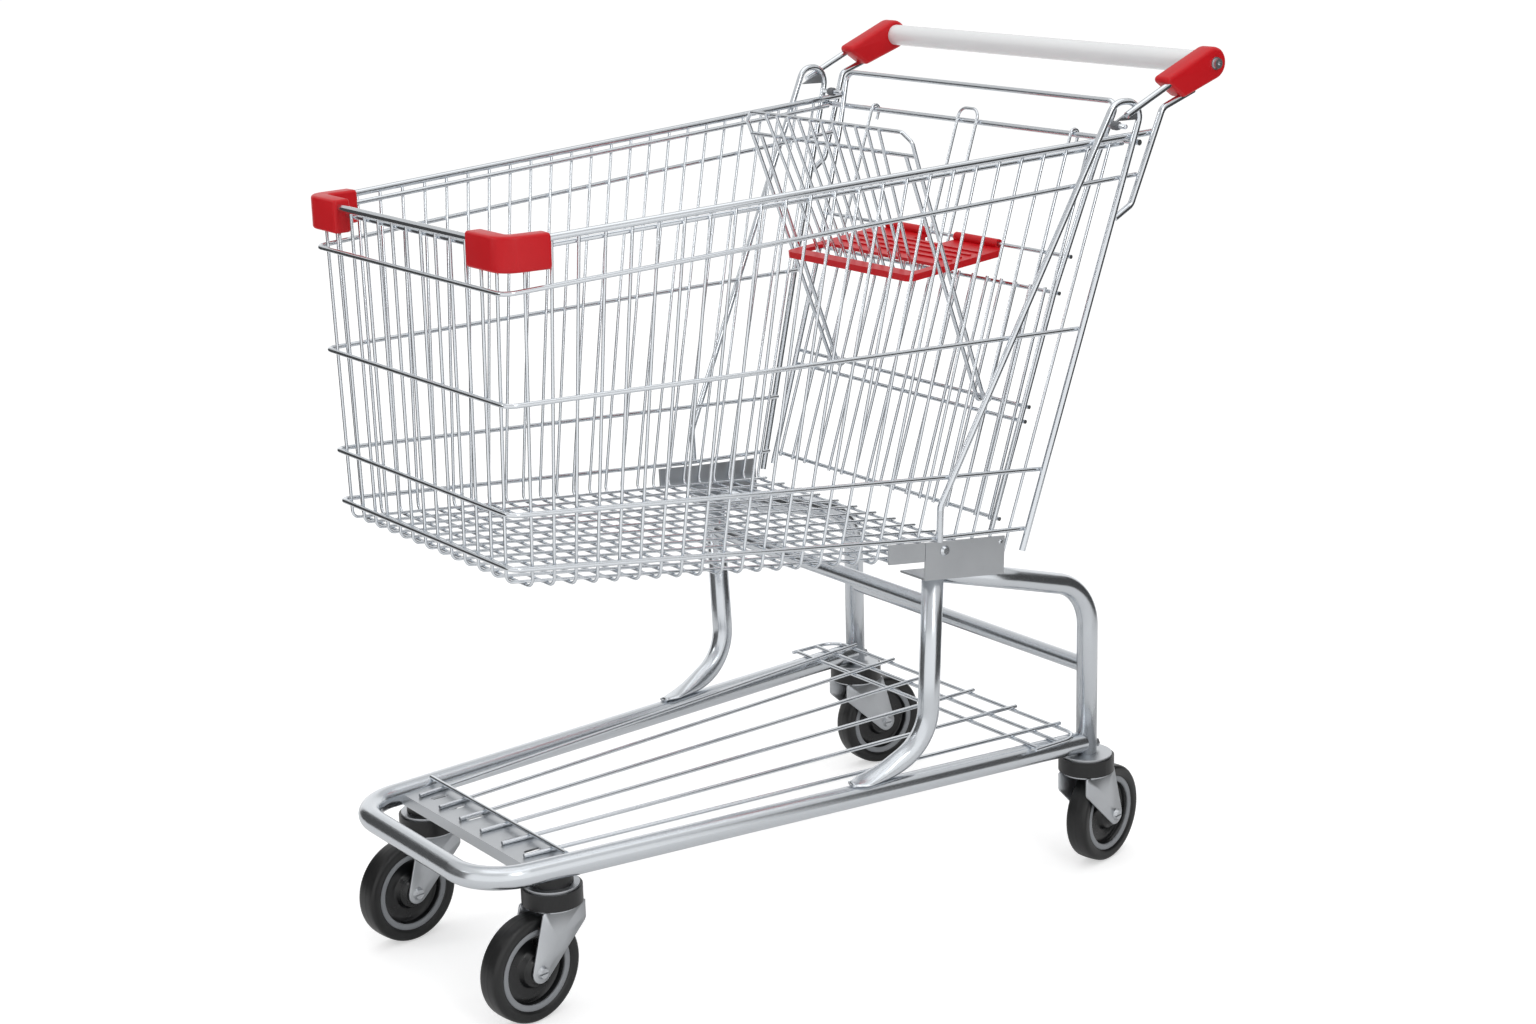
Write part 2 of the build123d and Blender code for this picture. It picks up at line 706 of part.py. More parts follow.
with BuildPart() as tray_cross_wires:
    rear_half = tray_loop_half - tray_wire_diameter / 2 + weld_bite
    for y in (tray_loop_front_y, (tray_loop_front_y + tray_loop_rear_y) / 2):
        rod([(-rear_half, y, tray_rear_z), (rear_half, y, tray_rear_z)], tray_wire_diameter)
    bar_rise = tray_bar_z - rail_z(tray_bar_y)
    bar_half = rail_x(tray_bar_y) - math.sqrt((rail_diameter / 2) ** 2 - bar_rise ** 2)
    rod([(-bar_half, tray_bar_y, tray_bar_z), (bar_half, tray_bar_y, tray_bar_z)], tray_wire_diameter)
    cope_rails()
publish(tray_cross_wires, "tray_cross_wires")

# ================= caster mounts =================
band_low_z = post_foot_z - disc_thickness - band_height + loose_clearance
crown_top_z = wheel_diameter + crown_clearance + fork_sheet
crown_low_z = wheel_diameter + crown_clearance
kingpin_head_diameter = 17.0
kingpin_head_height = 3.5
kingpin_low_z = crown_low_z - loose_clearance
front_kingpin_top_z = post_foot_z + 8.0
rear_kingpin_top_z = post_foot_z + 24.0
kingpin_play = 0.08
all_pivots = front_pivots + rear_pivots

with BuildPart() as caster_discs:
    with BuildSketch(Plane.XY.offset(post_foot_z - disc_thickness)):
        with Locations(*all_pivots):
            Circle(disc_diameter / 2)
            Circle(kingpin_diameter / 2, mode=Mode.SUBTRACT)
    extrude(amount=disc_thickness)
publish(caster_discs, "caster_discs")

with BuildPart() as caster_bands:
    with BuildSketch(Plane.XY.offset(band_low_z)):
        with Locations(*all_pivots):
            Circle(band_diameter / 2)
            Circle(kingpin_diameter / 2, mode=Mode.SUBTRACT)
    extrude(amount=post_foot_z - disc_thickness - band_low_z)
publish(caster_bands, "caster_bands")

with BuildPart() as caster_kingpins:
    for pair, top in ((front_pivots, front_kingpin_top_z), (rear_pivots, rear_kingpin_top_z)):
        with BuildSketch(Plane.XY.offset(kingpin_low_z)):
            with Locations(*pair):
                Circle(kingpin_diameter / 2)
        extrude(amount=top - kingpin_low_z)
    with BuildSketch(Plane.XY.offset(kingpin_low_z - kingpin_head_height)):
        with Locations(*all_pivots):
            Circle(kingpin_head_diameter / 2)
    extrude(amount=kingpin_head_height)
publish(caster_kingpins, "caster_kingpins")

with BuildPart() as stem_bolts:
    for side in (1, -1):
        with BuildSketch(Plane.XZ.offset(-rear_post_y - kingpin_diameter / 2)):
            with Locations((side * rear_post_x, stem_bolt_z)):
                Circle(stem_bolt_diameter / 2)
        extrude(amount=-(post_diameter - kingpin_diameter) / 2)
        with BuildSketch(Plane.XZ.offset(-rear_post_y - post_diameter / 2)):
            with Locations((side * rear_post_x, stem_bolt_z)):
                RegularPolygon(stem_bolt_diameter, 6)
        extrude(amount=-5.0)
publish(stem_bolts, "stem_bolts")

# ================= casters =================
skirt_low_z = 121.0
axle_head_diameter = 15.0
axle_head_height = 4.0
axle_slot = 1.8
tread_round = 5.0
core_outer = wheel_diameter / 2 - tyre_depth
core_web = 7.0
core_rim = 5.0
pivots = {"front_left": front_pivots[0], "front_right": front_pivots[1],
          "rear_left": rear_pivots[0], "rear_right": rear_pivots[1]}


def caster_planes(corner):
    """The caster's upright plane through its kingpin, seen square on, and the axle's centre in it."""
    heading = math.radians(caster_headings[corner])
    ahead = (math.cos(heading), math.sin(heading), 0)
    across = (math.sin(heading), -math.cos(heading), 0)
    plane = Plane(origin=(*pivots[corner], 0), x_dir=ahead, z_dir=across)
    return plane, (caster_trail, wheel_diameter / 2)


def make_caster(corner):
    upright, axle = caster_planes(corner)
    with BuildPart() as fork:
        with BuildSketch(Plane(origin=(*pivots[corner], crown_low_z))):
            Circle(fork_back)
        extrude(amount=fork_sheet)
        with BuildSketch(Plane(origin=(*pivots[corner], skirt_low_z))):
            Circle(fork_back)
            Circle(fork_back - fork_sheet, mode=Mode.SUBTRACT)
        extrude(amount=crown_low_z - skirt_low_z)
        with BuildSketch(upright.offset(-fork_gap / 2)):
            with Locations((fork_back, (skirt_low_z + crown_low_z) / 2)):
                Rectangle(2 * fork_back, crown_low_z - skirt_low_z)
        extrude(amount=fork_gap, mode=Mode.SUBTRACT)
        for offset, amount in ((fork_gap / 2, fork_sheet), (-fork_gap / 2, -fork_sheet)):
            with BuildSketch(upright.offset(offset)):
                with Locations(axle):
                    Circle(axle_boss_radius)
                with Locations((2.0, (skirt_low_z + crown_top_z) / 2)):
                    Rectangle(44.0, crown_top_z - skirt_low_z)
                make_hull()
            extrude(amount=amount)
        with BuildSketch(Plane(origin=(*pivots[corner], crown_low_z))):
            Circle(kingpin_diameter / 2 + kingpin_play)
        extrude(amount=fork_sheet, mode=Mode.SUBTRACT)
        with BuildSketch(upright.offset(-fork_gap)):
            with Locations(axle):
                Circle(axle_diameter / 2)
        extrude(amount=2 * fork_gap, mode=Mode.SUBTRACT)
    publish(fork, f"fork_{corner}")

    head_face = fork_gap / 2 + fork_sheet
    with BuildPart() as axle_bolt:
        with BuildSketch(upright.offset(-head_face)):
            with Locations(axle):
                Circle(axle_diameter / 2)
        extrude(amount=2 * head_face)
        for offset, amount in ((head_face, axle_head_height), (-head_face, -axle_head_height)):
            with BuildSketch(upright.offset(offset)):
                with Locations(axle):
                    Circle(axle_head_diameter / 2)
            extrude(amount=amount, taper=25)
            with BuildSketch(upright.offset(offset + amount)):
                with Locations(axle):
                    Rectangle(axle_head_diameter, axle_slot)
            extrude(amount=-amount * 0.4, mode=Mode.SUBTRACT)
    publish(axle_bolt, f"axle_bolt_{corner}")

    with BuildPart() as tyre:
        with BuildSketch(upright):
            with Locations(axle):
                Circle(wheel_diameter / 2)
                Circle(core_outer, mode=Mode.SUBTRACT)
        extrude(amount=tread_width / 2, both=True)
        rim_edges = tyre.edges().filter_by(GeomType.CIRCLE)
        fillet(rim_edges.filter_by(lambda edge: edge.radius > core_outer + 1), tread_round)
    publish(tyre, f"tyre_{corner}")

    with BuildPart() as wheel_core:
        for outer, inner, width in ((core_outer, core_outer - core_rim, core_width),
                                    (core_outer - core_rim / 2, 0, core_web),
                                    (hub_diameter / 2, 0, hub_length)):
            with BuildSketch(upright):
                with Locations(axle):
                    Circle(outer)
                    if inner:
                        Circle(inner, mode=Mode.SUBTRACT)
            extrude(amount=width / 2, both=True)
        with BuildSketch(upright.offset(-hub_length)):
            with Locations(axle):
                Circle(axle_diameter / 2 + kingpin_play)
        extrude(amount=2 * hub_length, mode=Mode.SUBTRACT)
    publish(wheel_core, f"wheel_core_{corner}")


for corner_name in pivots:
    make_caster(corner_name)

# ================= rear gate =================
gate_lean = math.radians(gate_angle)
gate_frame_out = (hinge_diameter + gate_rod_diameter) / 2 + gate_clearance
gate_cross_out = gate_frame_out - (gate_rod_diameter + gate_cross_diameter) / 2 + weld_bite
gate_wire_out = gate_cross_out + (gate_cross_diameter + gate_wire_diameter) / 2 - weld_bite


def gate_point(x, down, out):
    """A point of the gate: its x, its distance down from the hinge bar and out to the front of it."""
    y = hinge_y - down * math.sin(gate_lean) - out * math.cos(gate_lean)
    z = hinge_z - down * math.cos(gate_lean) + out * math.sin(gate_lean)
    return x, y, z


gate_legs = [(gate_foot, gate_foot_half), (gate_levels["lower"], 226.0), (30.0, 242.0), (-gate_top, gate_top_half)]

with BuildPart() as gate_frame:
    left = [gate_point(half, down, gate_frame_out) for down, half in gate_legs]
    rod(left + [(-x, y, z) for x, y, z in reversed(left)], gate_rod_diameter, 12.0)
publish(gate_frame, "gate_frame")


def leg_half(down):
    """Half the gate's width at a distance down, on its frame's legs."""
    for (low, low_half), (high, high_half) in zip(gate_legs, gate_legs[1:]):
        if down >= high:
            return along((low, low_half), (high, high_half), down)
    return gate_top_half


with BuildPart() as gate_cross_wires:
    for down in gate_levels.values():
        half = leg_half(down) + gate_rod_diameter / 2
        rod([gate_point(-half, down, gate_cross_out), gate_point(half, down, gate_cross_out)],
            gate_cross_diameter)
publish(gate_cross_wires, "gate_cross_wires")

with BuildPart() as gate_upright_wires:
    for index in range(gate_upright_count):
        x = (index - (gate_upright_count - 1) / 2) * gate_upright_pitch
        rod([gate_point(x, gate_levels["lower"] - 4.0, gate_wire_out),
             gate_point(x, gate_levels["bottom"] + 4.0, gate_wire_out)], gate_wire_diameter)
publish(gate_upright_wires, "gate_upright_wires")

hook_curl = 12.0

with BuildPart() as gate_hooks:
    hook_foot = gate_levels["lower"] + 4.0
    for x in (hook_x, -hook_x):
        with BuildLine() as hook_route:
            Line(gate_point(x, hook_foot, gate_wire_out), gate_point(x, 0, gate_wire_out))
            ThreePointArc(gate_point(x, 0, gate_wire_out), gate_point(x, -gate_wire_out, 0),
                          gate_point(x, 0, -gate_wire_out))
            Line(gate_point(x, 0, -gate_wire_out), gate_point(x, hook_curl, -gate_wire_out))
        with BuildSketch(Plane(origin=hook_route.line @ 0, z_dir=hook_route.line % 0)):
            Circle(gate_wire_diameter / 2)
        sweep()
    rod([gate_point(hairpin_half, hook_foot, gate_wire_out), gate_point(hairpin_half, -hairpin_rise, gate_wire_out),
         gate_point(-hairpin_half, -hairpin_rise, gate_wire_out),
         gate_point(-hairpin_half, hook_foot, gate_wire_out)], gate_wire_diameter, 12.0)
publish(gate_hooks, "gate_hooks")

buffer_diameter = 11.0
buffer_pin_diameter = 6.0
buffer_down = -14.0
buffer_pin_x = 247.0
buffer_inner_x = 263.0
buffer_outer_x = 275.0

with BuildPart() as gate_buffers:
    reach = gate_frame_out + (gate_rod_diameter + buffer_pin_diameter) / 2 + loose_clearance
    knob = gate_point(0, buffer_down, reach)
    pin_end = wall_x(knob[1], knob[2], rim_out)
    for side in (1, -1):
        rod([(side * buffer_inner_x, knob[1], knob[2]), (side * buffer_outer_x, knob[1], knob[2])],
            buffer_diameter)
        rod([(side * buffer_pin_x, knob[1], knob[2]), (side * pin_end, knob[1], knob[2])],
            buffer_pin_diameter)
publish(gate_buffers, "gate_buffers")

# ================= child seat =================
panel_lean = math.radians(seat_lean)
panel_pivot = gate_point(0, gate_levels["middle"], gate_cross_out)
panel_rod_out = (gate_cross_diameter + seat_rod_diameter) / 2 + loose_clearance
panel_wire_out = panel_rod_out + (seat_rod_diameter + gate_wire_diameter) / 2 - weld_bite


def panel_point(x, up, out):
    """A point of the folding panel: its x, its distance up from the pivot and out to the front."""
    y = panel_pivot[1] - up * math.sin(panel_lean) - out * math.cos(panel_lean)
    z = panel_pivot[2] + up * math.cos(panel_lean) - out * math.sin(panel_lean)
    return x, y, z


def panel_leg_loop(x):
    """The end of a leg, curled round the gate's cross wire."""
    with BuildLine() as loop_route:
        ThreePointArc(panel_point(x, 0, panel_rod_out), panel_point(x, -panel_rod_out, 0),
                      panel_point(x, 0, -panel_rod_out))
    with BuildSketch(Plane(origin=loop_route.line @ 0, z_dir=loop_route.line % 0)) as section:
        Circle(seat_rod_diameter / 2)
    sweep(section.sketch, path=loop_route.line)


seat_top_drop = 12.0
seat_knee = 303.0

with BuildPart() as seat_panel_frame:
    outline = [(seat_foot_half, 0), (seat_shoulder_half - 2.0, seat_knee),
               (seat_shoulder_half, seat_height - seat_top_drop), (seat_top_half, seat_height)]
    left = [panel_point(half, up, panel_rod_out) for half, up in outline]
    rod(left + [(-x, y, z) for x, y, z in reversed(left)], seat_rod_diameter, 8.0)
    second_half = seat_shoulder_half - 1.0
    rod([panel_point(-second_half, seat_second_rod, panel_rod_out),
         panel_point(second_half, seat_second_rod, panel_rod_out)], seat_rod_diameter)
    for side in (1, -1):
        rod([panel_point(side * seat_inner_leg_half, 0, panel_rod_out),
             panel_point(side * (seat_inner_leg_half + 4.0), seat_second_rod, panel_rod_out)],
            seat_rod_diameter)
        panel_leg_loop(side * seat_foot_half)
        panel_leg_loop(side * seat_inner_leg_half)
publish(seat_panel_frame, "seat_panel_frame")

with BuildPart() as seat_panel_wires:
    for index in range(seat_wire_count):
        x = (index - (seat_wire_count - 1) / 2)
        rod([panel_point(x * (seat_wire_pitch - 4.0), seat_wire_foot, panel_wire_out),
             panel_point(x * seat_wire_pitch, seat_height + 2.0, panel_wire_out)], gate_wire_diameter)
publish(seat_panel_wires, "seat_panel_wires")


plate_pivot = gate_point(0, gate_levels["seat"], gate_cross_out)
plate_angle = math.radians(plate_droop)
web_drop = 3.0
barrel_play = 0.4
barrel_skin = 3.0
hairpin_gap = 27.0
slot_near = 100.0
slot_far = 138.5
slot_half = 108.0
rib_pitch = 15.0
rib_height = 1.6
barrel_outer = gate_cross_diameter / 2 + barrel_play + barrel_skin
plate_plane = Plane(origin=plate_pivot, x_dir=(1, 0, 0),
                    z_dir=(0, -math.sin(plate_angle), math.cos(plate_angle)))

with BuildPart() as seat_plate:
    web_low = -web_drop - plate_web
    with BuildSketch(plate_plane.offset(web_low)):
        with Locations((0, -(plate_length + barrel_outer) / 2)):
            RectangleRounded(2 * plate_half_width, plate_length - barrel_outer, 10.0)
        with Locations((0, -barrel_outer)):
            Rectangle(2 * hairpin_gap, 2 * (hairpin_gap - barrel_outer), mode=Mode.SUBTRACT)
        with Locations((0, -(slot_near + slot_far) / 2)):
            RectangleRounded(2 * slot_half, slot_far - slot_near, 6.0, mode=Mode.SUBTRACT)
    extrude(amount=plate_web)
    with BuildSketch(plate_plane.offset(web_low - plate_skirt + plate_web)):
        with Locations((0, -(plate_length + barrel_outer) / 2)):
            RectangleRounded(2 * plate_half_width, plate_length - barrel_outer, 10.0)
            RectangleRounded(2 * (plate_half_width - plate_web), plate_length - barrel_outer - 2 * plate_web, 6.0,
                             mode=Mode.SUBTRACT)
        with Locations((0, -barrel_outer)):
            Rectangle(2 * hairpin_gap, 2 * (hairpin_gap - barrel_outer), mode=Mode.SUBTRACT)
    extrude(amount=plate_skirt - plate_web)
    rib_count = int((slot_near - hairpin_gap - rib_pitch / 2) // rib_pitch)
    with BuildSketch(plate_plane.offset(-web_drop)):
        with Locations(*[(0, -(hairpin_gap + (index + 0.5) * rib_pitch)) for index in range(rib_count)]):
            SlotOverall(2 * (plate_half_width - 12.0), 5.0)
    extrude(amount=rib_height)
    barrel_length = plate_hinge_half - hairpin_gap
    for side in (1, -1):
        barrel_start = Plane(origin=(side * hairpin_gap, *plate_pivot[1:]), z_dir=(side, 0, 0))
        with BuildSketch(barrel_start):
            Circle(barrel_outer)
        extrude(amount=barrel_length)
        with BuildSketch(plate_plane.offset(web_low)):
            with Locations((side * (hairpin_gap + plate_hinge_half) / 2, -barrel_outer)):
                Rectangle(barrel_length, 2 * barrel_outer)
        extrude(amount=plate_web)
    with BuildSketch(Plane(origin=(-plate_half_width, *plate_pivot[1:]), z_dir=(1, 0, 0))):
        Circle(gate_cross_diameter / 2 + barrel_play)
    extrude(amount=2 * plate_half_width, mode=Mode.SUBTRACT)
publish(seat_plate, "seat_plate")
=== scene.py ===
"""Shopping cart looks: zinc wire and tube, red moulded plastic, rubber tyres. Metres, the CAD's own frame."""
import json
import math

import bmesh
import bpy
import numpy as np
from mathutils import Matrix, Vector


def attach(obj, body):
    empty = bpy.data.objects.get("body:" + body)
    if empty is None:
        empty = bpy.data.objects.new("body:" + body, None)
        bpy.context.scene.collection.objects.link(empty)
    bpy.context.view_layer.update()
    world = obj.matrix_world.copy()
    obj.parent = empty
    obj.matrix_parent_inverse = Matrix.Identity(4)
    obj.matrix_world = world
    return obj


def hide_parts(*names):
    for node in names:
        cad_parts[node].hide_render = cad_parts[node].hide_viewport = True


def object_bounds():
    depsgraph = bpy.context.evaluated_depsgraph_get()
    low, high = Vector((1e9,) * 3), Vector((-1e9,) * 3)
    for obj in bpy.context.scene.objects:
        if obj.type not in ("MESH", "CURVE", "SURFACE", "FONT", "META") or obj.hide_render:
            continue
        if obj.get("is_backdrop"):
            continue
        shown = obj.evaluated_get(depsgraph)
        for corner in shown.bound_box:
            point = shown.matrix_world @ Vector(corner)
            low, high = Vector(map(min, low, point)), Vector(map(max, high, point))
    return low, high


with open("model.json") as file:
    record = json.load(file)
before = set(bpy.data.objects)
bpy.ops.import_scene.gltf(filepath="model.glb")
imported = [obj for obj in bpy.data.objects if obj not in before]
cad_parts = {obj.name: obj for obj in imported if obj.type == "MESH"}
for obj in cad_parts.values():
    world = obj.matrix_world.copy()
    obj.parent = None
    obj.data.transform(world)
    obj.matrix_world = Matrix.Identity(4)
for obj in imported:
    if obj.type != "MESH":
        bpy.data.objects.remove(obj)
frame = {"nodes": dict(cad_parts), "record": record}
size_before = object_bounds()

# Lengths are millimetres until mesh_object turns them into metres.
MM = 0.001
SHIFT = 5.5              # the CAD's middle sits this far behind the measured zero
UP = np.array([0.0, 0.0, 1.0])

# Basket: the wires' centre plane, narrower to the front and leaning in to the floor.
FRONT_Y = -446.5
WALL_FRONT = 204.5       # half width at the rim's front
TAPER = 80.0 / 829.5
LEAN = 0.048
RIM_FRONT_Z = 889.0
RIM_RISE = 42.0 / 829.5
RIM_DROP = 2.6           # the wires end this far below the rim rod's middle
FLOOR_FRONT_Z = 520.0
FLOOR_FALL = -0.122
CROSS_RADIUS = 1.85
CROSS_BEND = 11.0
CROSS_COUNT = 25
LONG_RADIUS = 1.9
LONG_BEND = 9.0
LONG_COUNT = 13
LONG_LIFT = 3.45         # the long wires lie on the cross wires
LONG_REAR_Y = 196.0
WIRE_SIDES = 12

# Casters: where each swivels, and the way its wheel trails, in degrees.
CORNERS = {"front_left": (140.0, -391.0, -82.0), "front_right": (-140.0, -391.0, -83.0),
           "rear_left": (232.0, 342.0, 103.0), "rear_right": (-232.0, 342.0, 87.0)}
TRAIL = 37.0
WHEEL = 62.5             # radius, and the axle's height
BORE = 4.08
HUB_HALF = 17.4
FORK_BOSS = 13.0
FORK_SHOULDER = (-30.0, 31.0, 104.0, 130.9)
FORK_LEG_INSIDE = 19.0
FORK_SHEET = 3.0

# Base tubes and the plates they meet.
POST_RADIUS = 13.0
POST_BEND = 66.0
POST_SIDES = 32
RAIL_HALF = 147.0
RAIL_NOSE_Y = -485.5
RAIL_NOSE_Z = 178.0
RAIL_FALL = 9.5
REAR_POST_X = 232.0
REAR_POST_Y = 342.0
RAIL_SLOPE = (REAR_POST_X - RAIL_HALF) / (REAR_POST_Y - RAIL_NOSE_Y)
MID_POST_Y = 102.0
MID_POST_LEAN = 14.0
RAIL_TO_POST = 26.0      # between the rail's middle and the foot's, before it is pressed flat
TOE_Y = -6.0
PLATE_FRONT = (77.0, 433.5)
PLATE_REAR = (190.0, 422.0)


# ---------------------------------------------------------------- meshes
def mesh_object(name, verts, quads, smooth=True, metres=False):
    """A mesh from an (n, 3) array of millimetre points and an (m, 4) array of corner numbers.

    Points that meet become one, and every face of a piece is turned outwards."""
    points = np.asarray(verts, dtype=np.float64)
    if not metres:
        points = (points + (0.0, SHIFT, 0.0)) * MM
    faces = np.asarray(quads, dtype=np.int32)
    mesh = bpy.data.meshes.new(name)
    mesh.vertices.add(len(points))
    mesh.vertices.foreach_set("co", points.astype(np.float32).ravel())
    mesh.loops.add(faces.size)
    mesh.loops.foreach_set("vertex_index", faces.ravel())
    mesh.polygons.add(len(faces))
    mesh.polygons.foreach_set("loop_start", np.arange(0, faces.size, faces.shape[1], dtype=np.int32))
    mesh.update(calc_edges=True)
    mesh.validate()
    if not metres:
        skin = bmesh.new()
        skin.from_mesh(mesh)
        bmesh.ops.remove_doubles(skin, verts=skin.verts, dist=1e-6)
        bmesh.ops.recalc_face_normals(skin, faces=skin.faces)
        skin.to_mesh(mesh)
        skin.free()
    mesh.polygons.foreach_set("use_smooth", np.full(len(mesh.polygons), smooth))
    obj = bpy.data.objects.new(name, mesh)
    bpy.context.scene.collection.objects.link(obj)
    return obj


def joined(shells):
    """Several (points, faces) shells as one pair of arrays."""
    points, faces, base = [], [], 0
    for shell_points, shell_faces in shells:
        points.append(shell_points)
        faces.append(shell_faces + base)
        base += len(shell_points)
    return np.concatenate(points), np.concatenate(faces)


def grid_faces(rows, columns, closed):
    """Four-cornered faces of a grid of rows by columns, closed round its columns or not."""
    last = columns if closed else columns - 1
    r, c = np.meshgrid(np.arange(rows - 1), np.arange(last), indexing="ij")
    n = (c + 1) % columns
    return np.stack([r * columns + c, r * columns + n, (r + 1) * columns + n, (r + 1) * columns + c],
                    axis=-1).reshape(-1, 4)


def unit(vectors):
    """Each vector divided by its own length."""
    vectors = np.asarray(vectors, float)
    return vectors / np.linalg.norm(vectors, axis=-1, keepdims=True)


def rounded_path(corners, radius, steps=7):
    """Corner points with each inner corner replaced by an arc that is tangent to both runs."""
    points = [np.asarray(corners[0], float)]
    for before, here, after in zip(corners[:-2], corners[1:-1], corners[2:]):
        here = np.asarray(here, float)
        u = unit(np.asarray(before, float) - here)
        v = unit(np.asarray(after, float) - here)
        turn = math.acos(np.clip(-u @ v, -1, 1))
        if turn < 0.02:
            points.append(here)
            continue
        setback = radius * math.tan(turn / 2)
        centre = here + unit(u + v) * (radius / math.cos(turn / 2))
        a, b = here + u * setback - centre, here + v * setback - centre
        t = np.linspace(0, 1, steps)[:, None]
        points.extend(centre + (np.sin((1 - t) * turn) * a + np.sin(t * turn) * b) / math.sin(turn))
    points.append(np.asarray(corners[-1], float))
    return np.array(points)


def closed_rings(rings, first, last):
    """A skin over a stack of equal rings, closed at each end by a fan round the point given for it."""
    rings = np.asarray(rings)
    sides = rings.shape[1]
    poles = [np.repeat(np.asarray(end)[None, None], sides, axis=1) for end in (first, last)]
    points = np.concatenate([poles[0], rings, poles[1]])
    return points.reshape(-1, 3), grid_faces(len(rings) + 2, sides, True)


def tube_shell(path, radius, sides=14, dome=True, wide=None, high=None):
    """A round wire along a path: rings square to it, carried along without twist, with domed ends.

    wide and high scale each ring's two half widths, for a tube that is flattened along its way."""
    path = np.asarray(path, float)
    sizes = np.full(len(path), radius)
    if dome:
        inset = np.array([0.0, 0.25, 0.6])[:, None] * radius
        start = path[0] + unit(path[1] - path[0]) * inset
        end = path[-1] - unit(path[-1] - path[-2]) * inset[::-1]
        sizes = np.concatenate([[0.35, 0.8, 1.0], np.ones(len(path) - 2), [1.0, 0.8, 0.35]]) * radius
        path = np.concatenate([start, path[1:-1], end])
    runs = unit(np.gradient(path, axis=0))
    side = np.cross(runs[0], UP)
    if np.linalg.norm(side) < 0.3:
        side = np.cross(runs[0], (0.0, 1.0, 0.0))
    sideways = []
    for run in runs:
        side = unit(side - run * (side @ run))
        sideways.append(side)
    s = np.array(sideways)
    u = np.cross(runs, s)
    angle = np.linspace(0, 2 * math.pi, sides, endpoint=False)
    wide = np.ones(len(path)) if wide is None else wide
    high = np.ones(len(path)) if high is None else high
    ring = (np.cos(angle)[None, :, None] * (s * wide[:, None])[:, None]
            + np.sin(angle)[None, :, None] * (u * high[:, None])[:, None])
    return closed_rings(path[:, None] + ring * sizes[:, None, None], path[0], path[-1])


def turned_shell(profile, centre, axis, sides=72):
    """A closed profile of (along, radius) pairs turned about an axis through a centre."""
    axis = unit(axis)
    side = unit(np.cross(axis, UP if abs(axis[2]) < 0.9 else (1.0, 0.0, 0.0)))
    up = np.cross(axis, side)
    profile = np.asarray([*profile, profile[0]], float)
    angle = np.linspace(0, 2 * math.pi, sides, endpoint=False)
    ring = np.cos(angle)[:, None] * side + np.sin(angle)[:, None] * up
    points = (np.asarray(centre, float) + profile[:, None, :1] * axis + profile[:, None, 1:] * ring[None])
    return points.reshape(-1, 3), grid_faces(len(profile), sides, True)


# ---------------------------------------------------------------- materials
def tint(code):
    """An sRGB hex code as linear colour with alpha."""
    values = [int(code[i:i + 2], 16) / 255 for i in (1, 3, 5)]
    return tuple(v / 12.92 if v <= 0.04045 else ((v + 0.055) / 1.055) ** 2.4 for v in values) + (1.0,)


def node(tree, kind, settings=None, **links):
    """Adds one shader node; settings go to its own fields or sockets, links join its inputs."""
    made = tree.nodes.new(kind)
    for key, value in (settings or {}).items():
        if key in made.inputs:
            made.inputs[key].default_value = value
        else:
            setattr(made, key, value)
    for key, source in links.items():
        tree.links.new(source, made.inputs[key.replace("_", " ")])
    return made


def material(name, base, metallic, roughness, wear=0.0, grain=0.0, grain_scale=900.0, coat=0.0, shine=0.5,
             mottle_scale=60.0, mottle_low=None):
    """A principled surface whose colour and roughness vary softly with place, and a fine bump.

    The scales are patches and grains to the metre: 60 is a patch about 17 mm across, 900 a grain of 1 mm."""
    made = bpy.data.materials.new(name)
    made.use_nodes = True
    tree = made.node_tree
    tree.nodes.clear()
    out = tree.nodes.new("ShaderNodeOutputMaterial")
    where = tree.nodes.new("ShaderNodeTexCoord").outputs["Object"]
    mottle = node(tree, "ShaderNodeTexNoise", {"Scale": mottle_scale, "Detail": 4.0, "Roughness": 0.6},
                  Vector=where)
    colour = node(tree, "ShaderNodeMix", {"data_type": "RGBA"})
    colour.inputs[6].default_value = tint(mottle_low or base)
    colour.inputs[7].default_value = tint(base)
    tree.links.new(mottle.outputs["Fac"], colour.inputs[0])
    rough = node(tree, "ShaderNodeMapRange",
                 {"To Min": max(roughness - wear, 0.02), "To Max": roughness + wear},
                 Value=mottle.outputs["Fac"])
    surface = node(tree, "ShaderNodeBsdfPrincipled", {"Metallic": metallic, "Coat Weight": coat,
                                                      "Coat Roughness": 0.12, "Specular IOR Level": shine},
                   Base_Color=colour.outputs[2], Roughness=rough.outputs["Result"])
    if grain:
        fine = node(tree, "ShaderNodeTexNoise", {"Scale": grain_scale, "Detail": 3.0}, Vector=where)
        bump = node(tree, "ShaderNodeBump", {"Strength": grain, "Distance": 0.0004}, Height=fine.outputs["Fac"])
        tree.links.new(bump.outputs["Normal"], surface.inputs["Normal"])
    tree.links.new(surface.outputs["BSDF"], out.inputs["Surface"])
    return made


# Bright zinc plating under clear lacquer on drawn wire: sharp highlights, slow changes along each wire.
wire_zinc = material("wire_zinc", "#DCE0E4", 1.0, 0.16, wear=0.02, mottle_low="#D4D8DD", mottle_scale=9.0)
# Satin zinc plating on welded tube: the same metal, its highlights a little softer.
tube_zinc = material("tube_zinc", "#D3D7DB", 1.0, 0.23, wear=0.02, mottle_low="#CCD0D5", mottle_scale=5.0)
# Zinc plated pressed sheet: duller, and cloudy in patches of about 40 mm.
sheet_zinc = material("sheet_zinc", "#C6C9CC", 1.0, 0.38, wear=0.05, mottle_low="#B7BABE", mottle_scale=26.0)
